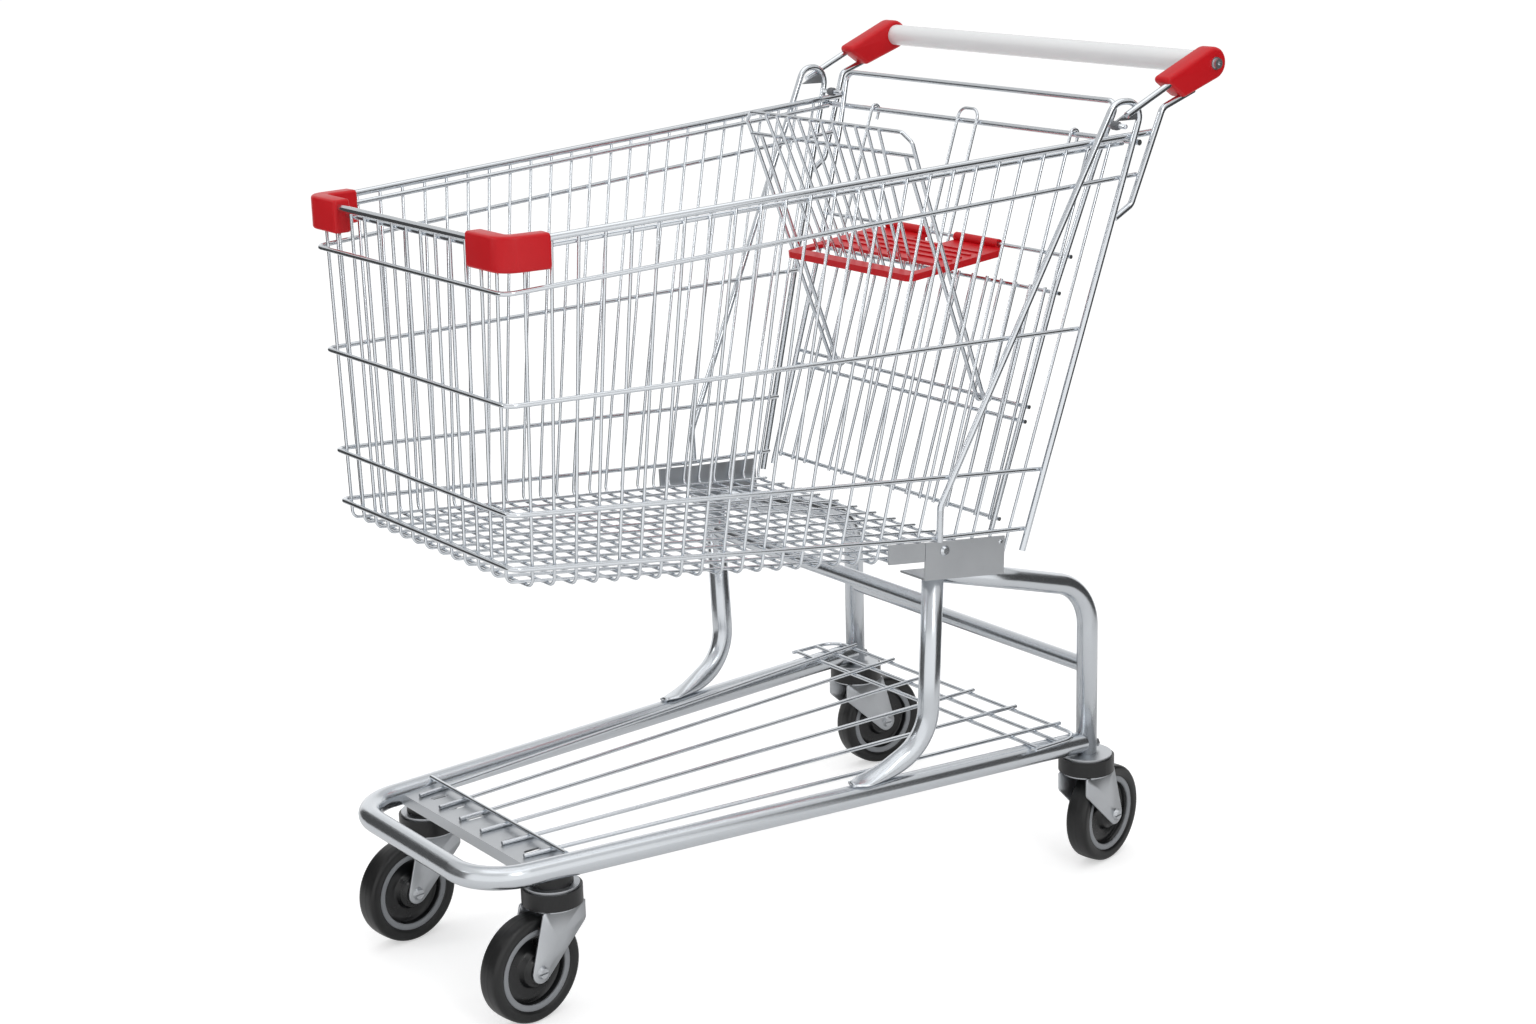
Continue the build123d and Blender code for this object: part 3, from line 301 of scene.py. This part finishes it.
# Red injection moulded polypropylene: even colour, a soft sheen and a very fine mould grain.
red_plastic = material("red_plastic", "#CC0A18", 0.0, 0.36, wear=0.04, grain=0.05, grain_scale=1500.0,
                       shine=0.3, mottle_low="#C40815")
# White extruded vinyl sleeve: smooth and glossy.
white_sleeve = material("white_sleeve", "#ECEDEE", 0.0, 0.26, wear=0.02, coat=0.3, mottle_low="#E8E9EA",
                        mottle_scale=8.0)
# Black moulded nylon of the swivel bands: satin, with a light mould grain.
black_plastic = material("black_plastic", "#0F1012", 0.0, 0.38, wear=0.06, grain=0.1, mottle_low="#0A0B0C")
# Grey moulded rubber of the stops that the gate rests on: matt.
knob_rubber = material("knob_rubber", "#6C6F73", 0.0, 0.45, wear=0.05, grain=0.1, mottle_low="#606367")
# Black tread rubber: a low sheen and fine grain, drawn as coarse as it needs to show.
tyre_rubber = material("tyre_rubber", "#0C0D0E", 0.0, 0.38, wear=0.05, grain=0.08, grain_scale=1200.0,
                       mottle_low="#090A0B")
# Dark moulded nylon wheel centre, glossier than the tread, and its grey ring.
wheel_dark = material("wheel_dark", "#141517", 0.0, 0.28, wear=0.04, grain=0.05, mottle_low="#101112")
wheel_ring = material("wheel_ring", "#8E9195", 0.0, 0.45, wear=0.05, mottle_low="#84878B")

BY_SLOT = {"bright_wire": wire_zinc, "zinc_tube": tube_zinc, "zinc_sheet": sheet_zinc,
           "red_plastic": red_plastic, "white_plastic": white_sleeve, "band_plastic": black_plastic,
           "tyre_rubber": tyre_rubber, "wheel_plastic": wheel_dark}
BY_NODE = {"front_caster_cups": black_plastic, "plate_rivets": wire_zinc}
for entry in frame["record"]["subparts"]:
    carried = frame["nodes"][entry["node"]]
    carried.data.materials.clear()
    carried.data.materials.append(BY_NODE.get(entry["node"], BY_SLOT[entry["material_slot"]]))


def piece(obj, surface, body, slot_name, *stands_for):
    """Gives a new piece its finish and its body, and hides the CAD nodes it stands for."""
    obj.data.materials.append(surface)
    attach(obj, body)
    if stands_for:
        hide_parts(*stands_for)
    return obj


# ---------------------------------------------------------------- basket mesh
def wall_x(y, z, out=0.0):
    """Half width of the basket at y and z: the front's, wider in a straight line to the rear and the top."""
    return WALL_FRONT + TAPER * (y - FRONT_Y) + LEAN * (z - RIM_FRONT_Z) + out


def rim_z(y):
    """Height of the rim rod's middle, rising in a straight line to the rear."""
    return RIM_FRONT_Z + RIM_RISE * (y - FRONT_Y)


def floor_z(y):
    """Height of the floor's cross wires, falling in a straight line to the rear."""
    return FLOOR_FRONT_Z + FLOOR_FALL * (y - FRONT_Y)


def basket_cross_hoops():
    """Each wire runs down one side, turns under the floor and climbs the other side in one piece.

    Tops and feet are spread evenly, the feet over a shorter run, so that the wires fan out to the rear."""
    shells = []
    first, last_top, last_foot = FRONT_Y + 22.0, 326.0, 190.0
    for share in np.linspace(0, 1, CROSS_COUNT):
        top_y = first + share * (last_top - first)
        foot_y = first + share * (last_foot - first)
        top_z = rim_z(top_y) - RIM_DROP
        foot_z = floor_z(foot_y)
        top_x = wall_x(top_y, top_z)
        foot_x = wall_x(foot_y, foot_z)
        path = [(top_x, top_y, top_z), (foot_x, foot_y, foot_z),
                (-foot_x, foot_y, foot_z), (-top_x, top_y, top_z)]
        shells.append(tube_shell(rounded_path(path, CROSS_BEND), CROSS_RADIUS, WIRE_SIDES))
    return joined(shells)


def basket_long_hoops():
    """Front wires, evenly spread, that turn back under the floor and run to its rear end."""
    shells = []
    front_half = wall_x(FRONT_Y, FLOOR_FRONT_Z)
    foot_half = front_half - 15.0
    rear_half = wall_x(190.0, floor_z(190.0)) - 14.0
    for share in np.linspace(-1, 1, LONG_COUNT):
        path = [(share * foot_half * WALL_FRONT / front_half, FRONT_Y, RIM_FRONT_Z - RIM_DROP),
                (share * foot_half, FRONT_Y, FLOOR_FRONT_Z + LONG_LIFT),
                (share * rear_half, LONG_REAR_Y, floor_z(LONG_REAR_Y) + LONG_LIFT)]
        shells.append(tube_shell(rounded_path(path, LONG_BEND), LONG_RADIUS, WIRE_SIDES))
    return joined(shells)


cross = mesh_object("basket_wire_hoops", *basket_cross_hoops())
piece(cross, wire_zinc, "cart", "bright_wire", "basket_uprights", "floor_cross_wires")
long_wires = mesh_object("basket_long_wires", *basket_long_hoops())
piece(long_wires, wire_zinc, "cart", "bright_wire", "floor_long_wires")


# ---------------------------------------------------------------- casters
def arc(centre, radius, start, end, steps=6):
    """Points of an arc, in degrees, as (along, radius) pairs."""
    angle = np.radians(np.linspace(start, end, steps))
    return [(centre[0] + radius * math.cos(a), centre[1] + radius * math.sin(a)) for a in angle]


def tyre_profile():
    """Rounded shoulders, a low tread crown and the mould's parting ridge, mirrored about the middle."""
    side_wall = [(11.5, 47.5), (13.6, 49.0), (14.6, 52.0)]
    shoulder = arc((9.6, 56.9), 5.2, 0, 72, 7)
    crown = [(8.0, 62.25), (4.0, 62.42), (0.9, 62.45), (0.5, WHEEL)]
    half = side_wall + shoulder + crown
    return half + [(-x, r) for x, r in reversed(half)]


def centre_profile():
    """The wheel's centre: a rim, a dished web and a stepped hub with the axle's hole, mirrored."""
    rim = [(11.2, 41.6), (10.4, 40.4)]
    web = [(5.2, 39.9), (4.2, 39.5), (3.9, 32.0), (4.4, 24.0), (6.0, 21.0)]
    hub = [(12.5, 19.4), (13.4, 18.6), (13.6, 15.2), (17.6, 14.4), (18.0, 13.6), (18.0, 8.2), (HUB_HALF, BORE)]
    half = rim + web + hub
    return half + [(-x, r) for x, r in reversed(half)]


def ring_profile():
    """The grey ring on one side: a flat band with rounded edges, between the tyre and the web."""
    return [(11.0, 48.4), (12.4, 48.1), (12.9, 47.4), (12.7, 41.9), (12.0, 41.1), (10.2, 40.7)]


def heading_of(corner):
    """The swivel's place on the floor, and the directions along and across its wheel."""
    x, y, heading = CORNERS[corner]
    h = math.radians(heading)
    ahead = np.array([math.cos(h), math.sin(h), 0.0])
    across = np.array([math.sin(h), -math.cos(h), 0.0])
    return np.array([x, y, 0.0]), ahead, across


def wheel_pieces(corner):
    """The tread, the centre and its two grey rings, all turned about the axle."""
    pivot, ahead, across = heading_of(corner)
    centre = pivot + TRAIL * ahead + WHEEL * UP
    body = f"wheel_{corner}"
    tyre = mesh_object(f"rubber_tread_{corner}", *turned_shell(tyre_profile(), centre, across, 96))
    piece(tyre, tyre_rubber, body, "tyre_rubber", f"tyre_{corner}")
    core = mesh_object(f"wheel_centre_{corner}", *turned_shell(centre_profile(), centre, across))
    piece(core, wheel_dark, body, "wheel_plastic", f"wheel_core_{corner}")
    rings = [turned_shell([(sign * a, r) for a, r in ring_profile()], centre, across) for sign in (1, -1)]
    pale = mesh_object(f"wheel_pale_ring_{corner}", *joined(rings))
    piece(pale, wheel_ring, body, "wheel_plastic")


def leg_outline():
    """Outline of a fork's leg: the tightest band round its boss and the four corners of its shoulder.

    Each point is as far from the middle as every straight edge of that band allows."""
    low_x, high_x, low_z, high_z = FORK_SHOULDER
    angle = np.linspace(0, 2 * math.pi, 48, endpoint=False)
    circle = np.stack([np.cos(angle), np.sin(angle)], axis=1)
    rounds = ((TRAIL, WHEEL, FORK_BOSS), (low_x + 5, low_z + 5, 5.0), (high_x - 5, low_z + 5, 5.0),
              (low_x + 1, high_z - 1, 1.0), (high_x - 1, high_z - 1, 1.0))
    spots = np.concatenate([np.array([x, z]) + r * circle for x, z, r in rounds])
    middle = np.array([(low_x + high_x + TRAIL) / 3, (WHEEL + high_z) / 2])
    bearing = np.linspace(-math.pi, math.pi, 96, endpoint=False)
    facing = np.linspace(-math.pi, math.pi, 720, endpoint=False)
    normals = np.stack([np.cos(facing), np.sin(facing)], axis=1)
    rays = np.stack([np.cos(bearing), np.sin(bearing)], axis=1)
    lean = rays @ normals.T
    room = (spots @ normals.T).max(axis=0) - middle @ normals.T
    reach = np.where(lean > 1e-3, room / np.maximum(lean, 1e-3), 1e9).min(axis=1)
    return middle + rays * reach[:, None], middle


def leg_shell(outline, middle, low, high, place, edge=0.7):
    """A flat plate with softened edges between two offsets, from an outline in its own plane."""
    rings = []
    for offset, draw in ((low, edge), (low + edge, 0.0), (high - edge, 0.0), (high, edge)):
        drawn = middle + (outline - middle) * (1 - draw / np.linalg.norm(outline - middle, axis=1))[:, None]
        rings.append(place(drawn, offset))
    first, last = [place(middle[None], offset)[0] for offset in (low, high)]
    return closed_rings(rings, first, last)


def fork_piece(corner):
    """Two wide pressed legs under a round crown."""
    pivot, ahead, across = heading_of(corner)

    def place(flat, offset):
        """Points of the leg's own plane, moved sideways by the offset."""
        return pivot + flat[:, :1] * ahead + flat[:, 1:] * UP + offset * across

    outline, middle = leg_outline()
    shells = [leg_shell(outline, middle, low, low + FORK_SHEET, place)
              for low in (FORK_LEG_INSIDE, -FORK_LEG_INSIDE - FORK_SHEET)]
    crown = [(127.9, 6.4), (127.9, 30.3), (128.4, 31.0), (130.2, 31.0), (130.9, 30.3), (130.9, 6.4)]
    shells.append(turned_shell(crown, pivot, UP))
    made = mesh_object(f"pressed_fork_{corner}", *joined(shells))
    return piece(made, sheet_zinc, f"caster_{corner}", "zinc_sheet", f"fork_{corner}")


for corner in CORNERS:
    wheel_pieces(corner)
    fork_piece(corner)


# ---------------------------------------------------------------- bent posts
def rail_x(y):
    """Half width of the base rail, wider in a straight line to the rear."""
    return RAIL_HALF + RAIL_SLOPE * (y - RAIL_NOSE_Y)


def rail_z(y):
    """Height of the base rail's middle, falling in a straight line to the rear."""
    return RAIL_NOSE_Z - RAIL_FALL * (y - RAIL_NOSE_Y) / (REAR_POST_Y - RAIL_NOSE_Y)


def eased(values):
    """Zero to one with a soft start and end: three times the square less twice the cube."""
    held = np.clip(values, 0, 1)
    return held * held * (3 - 2 * held)


def post_piece(side_word, kind, shell):
    """A bent tube in place of the CAD's."""
    made = mesh_object(f"bent_{kind}_{side_word}", *shell)
    return piece(made, tube_zinc, "cart", "zinc_tube", f"{kind}_{side_word}")


def mid_post(side, side_word):
    """Straight down from the plate, bent forward, then pressed flat where it is welded on the rail.

    The press grows along the toe, which spreads a little, sinks to the rail and narrows at its tip."""
    share = (MID_POST_Y - PLATE_FRONT[0]) / (PLATE_REAR[0] - PLATE_FRONT[0])
    top_z = PLATE_FRONT[1] + (PLATE_REAR[1] - PLATE_FRONT[1]) * share
    corners = [(side * (rail_x(MID_POST_Y) + MID_POST_LEAN), MID_POST_Y, top_z),
               (side * rail_x(MID_POST_Y), MID_POST_Y, rail_z(MID_POST_Y) + RAIL_TO_POST),
               (side * rail_x(TOE_Y), TOE_Y, rail_z(TOE_Y) + RAIL_TO_POST)]
    path = rounded_path(corners, POST_BEND, 24)
    tail = np.linspace(0, 1, 18)[1:, None]
    path = np.concatenate([path[:-1], path[-2] + (path[-1] - path[-2]) * tail])
    press = eased((66.0 - path[:, 1]) / 66.0) * 0.78
    tip = eased((14.0 - path[:, 1]) / 20.0)
    path[:, 2] -= POST_RADIUS * press
    shell = tube_shell(path, POST_RADIUS, POST_SIDES, False,
                       wide=(1 + 0.12 * press) * (1 - 0.5 * tip), high=1 - press)
    return post_piece(side_word, "mid_post", shell)


def rear_post(side, side_word):
    """Up from the caster, round a wide bend, then rising forwards until it is welded behind the plate."""
    corners = [(side * REAR_POST_X, REAR_POST_Y, 154.0), (side * REAR_POST_X, REAR_POST_Y, 371.0),
               (side * 230.0, 215.0, 407.0), (side * 214.0, 110.0, 434.0)]
    shell = tube_shell(rounded_path(corners, POST_BEND, 24), POST_RADIUS, POST_SIDES, False)
    return post_piece(side_word, "rear_post", shell)


SIDES = ((1, "left"), (-1, "right"))
for side, word in SIDES:
    rear_post(side, word)
for side, word in SIDES:
    mid_post(side, word)


# ---------------------------------------------------------------- moulded corners
def rounded_rectangle(width, height, radius, steps=6):
    """A rounded rectangle's outline as (across, up) pairs about its middle."""
    half_w, half_h = width / 2 - radius, height / 2 - radius
    points = []
    for cx, cy, start in ((half_w, half_h, 0), (-half_w, half_h, 90), (-half_w, -half_h, 180),
                          (half_w, -half_h, 270)):
        angle = np.radians(np.linspace(start, start + 90, steps))
        points.extend(zip(cx + radius * np.cos(angle), cy + radius * np.sin(angle)))
    return np.array(points)


def round_edge(steps, radius):
    """How far an outline is drawn in at each depth of a rounded edge: a quarter circle."""
    return radius - np.sqrt(np.maximum(radius**2 - (radius - steps) ** 2, 0))


def corner_bumper(side):
    """A rounded moulding carried round the rim's corner, its two ends rounded off."""
    inner, outer, arm_y, end_round = -7.9, 9.95, FRONT_Y + 48.0, 3.2
    middle = (inner + outer) / 2
    x = wall_x(FRONT_Y - middle, RIM_FRONT_Z, middle)
    level = rim_z(arm_y) + 6.5 - 19.0
    corners = [(side * (x - 62.0), FRONT_Y - middle, level), (side * x, FRONT_Y - middle, level),
               (side * wall_x(arm_y, RIM_FRONT_Z, middle), arm_y, level)]
    path = rounded_path(corners, 14.0 + middle, 14)
    steps = np.array([0.0, 0.3, 0.9, 1.9, end_round])
    lead = unit(path[1] - path[0])
    trail = unit(path[-2] - path[-1])
    path = np.concatenate([path[0] + lead * steps[:, None], path[1:-1], path[-1] + trail * steps[::-1, None]])
    inset = round_edge(steps, end_round)
    insets = np.concatenate([inset, np.zeros(len(path) - 2 * len(steps)), inset[::-1]])
    section = rounded_rectangle(outer - inner + 3.0, 38.0, 3.4)
    across = np.cross(unit(np.gradient(path, axis=0)), UP)
    rings = []
    for at, out, draw in zip(path, across, insets):
        outline = np.sign(section) * np.maximum(np.abs(section) - draw, 0.3)
        rings.append(at + outline[:, :1] * out + outline[:, 1:] * UP)
    return closed_rings(rings, path[0], path[-1])


bumpers = mesh_object("moulded_bumpers", *joined([corner_bumper(side) for side, word in SIDES]))
piece(bumpers, red_plastic, "cart", "red_plastic", "corner_bumpers")


def handle_casing(side):
    """The casing's outline in the side view, drawn in towards both faces so that its edges are round."""
    y, z, nose_radius, edge = 469.0, 1004.5, 19.0, 5.0
    turn = np.radians(np.linspace(-72.0, 113.5, 40))
    nose = np.stack([y + nose_radius * np.cos(turn), z + nose_radius * np.sin(turn)], axis=1)
    tail = rounded_path([(*nose[-1], 0), (387.0, 991.5, 0), (420.5, 968.5, 0), (*nose[0], 0)], 5.0, 7)[1:-1, :2]
    outline = np.concatenate([nose, tail])
    ahead = unit(np.roll(outline, -1, axis=0) - np.roll(outline, 1, axis=0))
    inward = np.stack([-ahead[:, 1], ahead[:, 0]], axis=1)
    steps = np.array([0.0, 0.35, 1.2, 2.6, edge])
    insets = round_edge(steps, edge)
    xs = np.concatenate([281.5 + steps, 307.5 - steps[::-1]])
    draws = np.concatenate([insets, insets[::-1]])
    rings = [np.column_stack([np.full(len(outline), side * x), outline + inward * draw])
             for x, draw in zip(xs, draws)]
    return closed_rings(rings, rings[0].mean(axis=0), rings[-1].mean(axis=0))


for side, word in SIDES:
    casing = mesh_object(f"handle_casing_{word}", *handle_casing(side))
    piece(casing, red_plastic, "cart", "red_plastic", f"end_cap_{word}")


def stop_knobs():
    """A pin from each rim with a domed rubber knob on it, in front of the gate's upper legs."""
    pins, knobs = [], []
    y, z = 346.8, 939.9
    dome = [(263.0, 2.6), (263.0, 4.6), (263.8, 5.3), (270.0, 5.5), (273.0, 4.8), (274.6, 3.4), (275.0, 2.6)]
    for side, word in SIDES:
        pins.append(tube_shell([(side * 247.0, y, z), (side * 286.0, y, z)], 3.0, 16))
        knobs.append(turned_shell([(side * a, r) for a, r in dome], (0, y, z), (1.0, 0.0, 0.0), 32))
    piece(mesh_object("stop_pins", *joined(pins)), wire_zinc, "cart", "bright_wire")
    piece(mesh_object("stop_knobs", *joined(knobs)), knob_rubber, "cart", "band_plastic", "gate_buffers")


stop_knobs()


# ---------------------------------------------------------------- stage
def paper_material():
    """White studio paper, lit a little from within so that it falls away evenly."""
    paper = bpy.data.materials.new("studio_paper")
    paper.use_nodes = True
    tree = paper.node_tree
    tree.nodes.clear()
    sheet = node(tree, "ShaderNodeBsdfDiffuse", {"Color": (0.72, 0.72, 0.72, 1.0)})
    glow = node(tree, "ShaderNodeEmission", {"Color": (1.0, 1.0, 1.0, 1.0)})
    seen_by = tree.nodes.new("ShaderNodeLightPath")
    straight = node(tree, "ShaderNodeMapRange", {"To Min": 0.1, "To Max": 0.5},
                    Value=seen_by.outputs["Is Camera Ray"])
    tree.links.new(straight.outputs["Result"], glow.inputs["Strength"])
    lit_paper = tree.nodes.new("ShaderNodeAddShader")
    tree.links.new(sheet.outputs[0], lit_paper.inputs[0])
    tree.links.new(glow.outputs[0], lit_paper.inputs[1])
    paper_out = tree.nodes.new("ShaderNodeOutputMaterial")
    tree.links.new(lit_paper.outputs[0], paper_out.inputs["Surface"])
    return paper


FLOOR_REACH = 40.0
FLOOR_DROP = 0.0005
floor = mesh_object("floor", [(x * FLOOR_REACH, y * FLOOR_REACH, -FLOOR_DROP)
                              for x, y in ((-1, -1), (1, -1), (1, 1), (-1, 1))],
                    [(0, 1, 2, 3)], smooth=False, metres=True)
floor.data.materials.append(paper_material())
floor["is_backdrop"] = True


def studio_world():
    """White behind the cart; for everything else a band that is dark at the horizon and bright above."""
    world = bpy.data.worlds.new("studio")
    bpy.context.scene.world = world
    world.use_nodes = True
    sky = world.node_tree
    sky.nodes.clear()
    ray = sky.nodes.new("ShaderNodeTexCoord").outputs["Generated"]
    parts = node(sky, "ShaderNodeSeparateXYZ", Vector=ray)
    bands = node(sky, "ShaderNodeValToRGB", Fac=parts.outputs["Z"])
    ramp = bands.color_ramp
    ramp.elements[0].position = 0.0
    ramp.elements[0].color = (0.1, 0.1, 0.11, 1)
    ramp.elements[1].position = 1.0
    ramp.elements[1].color = (1.0, 1.0, 1.0, 1)
    for spot, value in ((0.1, 0.05), (0.24, 0.35), (0.32, 0.9), (0.55, 0.75)):
        stop = ramp.elements.new(spot)
        stop.color = (value, value, value, 1)
    lit = node(sky, "ShaderNodeBackground", {"Strength": 0.9}, Color=bands.outputs["Color"])
    seen = node(sky, "ShaderNodeBackground", {"Color": (1, 1, 1, 1), "Strength": 1.0})
    path_kind = sky.nodes.new("ShaderNodeLightPath")
    mixed = sky.nodes.new("ShaderNodeMixShader")
    sky.links.new(path_kind.outputs["Is Camera Ray"], mixed.inputs[0])
    sky.links.new(lit.outputs[0], mixed.inputs[1])
    sky.links.new(seen.outputs[0], mixed.inputs[2])
    end = sky.nodes.new("ShaderNodeOutputWorld")
    sky.links.new(mixed.outputs[0], end.inputs["Surface"])


studio_world()


def soft_light(name, place, target, width, height, watts):
    """A rectangular studio light aimed at a point."""
    data = bpy.data.lights.new(name, "AREA")
    data.shape = "RECTANGLE"
    data.size = width
    data.size_y = height
    data.energy = watts
    lamp = bpy.data.objects.new(name, data)
    away = unit(np.array(place, float) - np.array(target, float))
    side = unit(np.cross(UP, away))
    up = np.cross(away, side)
    lamp.matrix_world = Matrix([[side[i], up[i], away[i], place[i]] for i in range(3)] + [[0, 0, 0, 1]])
    bpy.context.scene.collection.objects.link(lamp)


def reflector(name, bearing, spread, brightness):
    """An upright card bent in an arc round the cart, seen only in the metal's reflections."""
    reach, height, columns = 1.7, 1.3, 24
    around = np.radians(bearing + np.linspace(-spread, spread, columns))
    ring = np.stack([reach * np.cos(around), reach * np.sin(around)], axis=1)
    points = np.concatenate([np.column_stack([ring, np.full(columns, z)]) for z in (0.0, height)])
    card = mesh_object(name, points, grid_faces(2, columns, False), metres=True)
    lit_card = bpy.data.materials.new(name)
    lit_card.use_nodes = True
    lit_card.node_tree.nodes.clear()
    shine = node(lit_card.node_tree, "ShaderNodeEmission", {"Strength": brightness})
    card_out = lit_card.node_tree.nodes.new("ShaderNodeOutputMaterial")
    lit_card.node_tree.links.new(shine.outputs[0], card_out.inputs["Surface"])
    card.data.materials.append(lit_card)
    for kind in ("camera", "diffuse", "transmission", "volume_scatter", "shadow"):
        setattr(card, f"visible_{kind}", False)
    card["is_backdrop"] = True


# Two white cards face each other across the cart, and two black ones fill the gaps between them.
FIRST_CARD = -36.0
for half_turn in (0, 180):
    reflector(f"white_card_{half_turn}", FIRST_CARD + half_turn, 54.0, 1.1)
    reflector(f"black_card_{half_turn}", FIRST_CARD + half_turn + 90.0, 36.0, 0.07)

soft_light("overhead", (0.2, 0.2, 4.2), (0, 0, 0.4), 4.0, 4.0, 30)
soft_light("key", (3.2, -0.6, 2.4), (0, 0, 0.6), 0.8, 2.6, 26)
soft_light("fill", (-1.2, -3.4, 1.8), (0, 0, 0.6), 0.6, 2.4, 18)

# The view: across the near front corner, a little above the rim.
camera_data = bpy.data.cameras.new("camera")
camera_data.sensor_width = 36.0
camera_data.lens = 60.5
camera_data.clip_end = 200.0
camera = bpy.data.objects.new("camera", camera_data)
right = (0.597902, 0.801167, -0.025381)
above = (-0.200368, 0.180042, 0.963035)
back = (0.776122, -0.570716, 0.268176)
stand = (2.44813, -1.76807, 1.32288)
camera.matrix_world = Matrix([[right[i], above[i], back[i], stand[i]] for i in range(3)] + [[0, 0, 0, 1]])
bpy.context.scene.collection.objects.link(camera)
bpy.context.scene.camera = camera
bpy.context.scene.view_settings.view_transform = "Standard"

size_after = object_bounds()
({name: [list(corner) for corner in box]
           for name, box in (("before", size_before), ("after", size_after))})
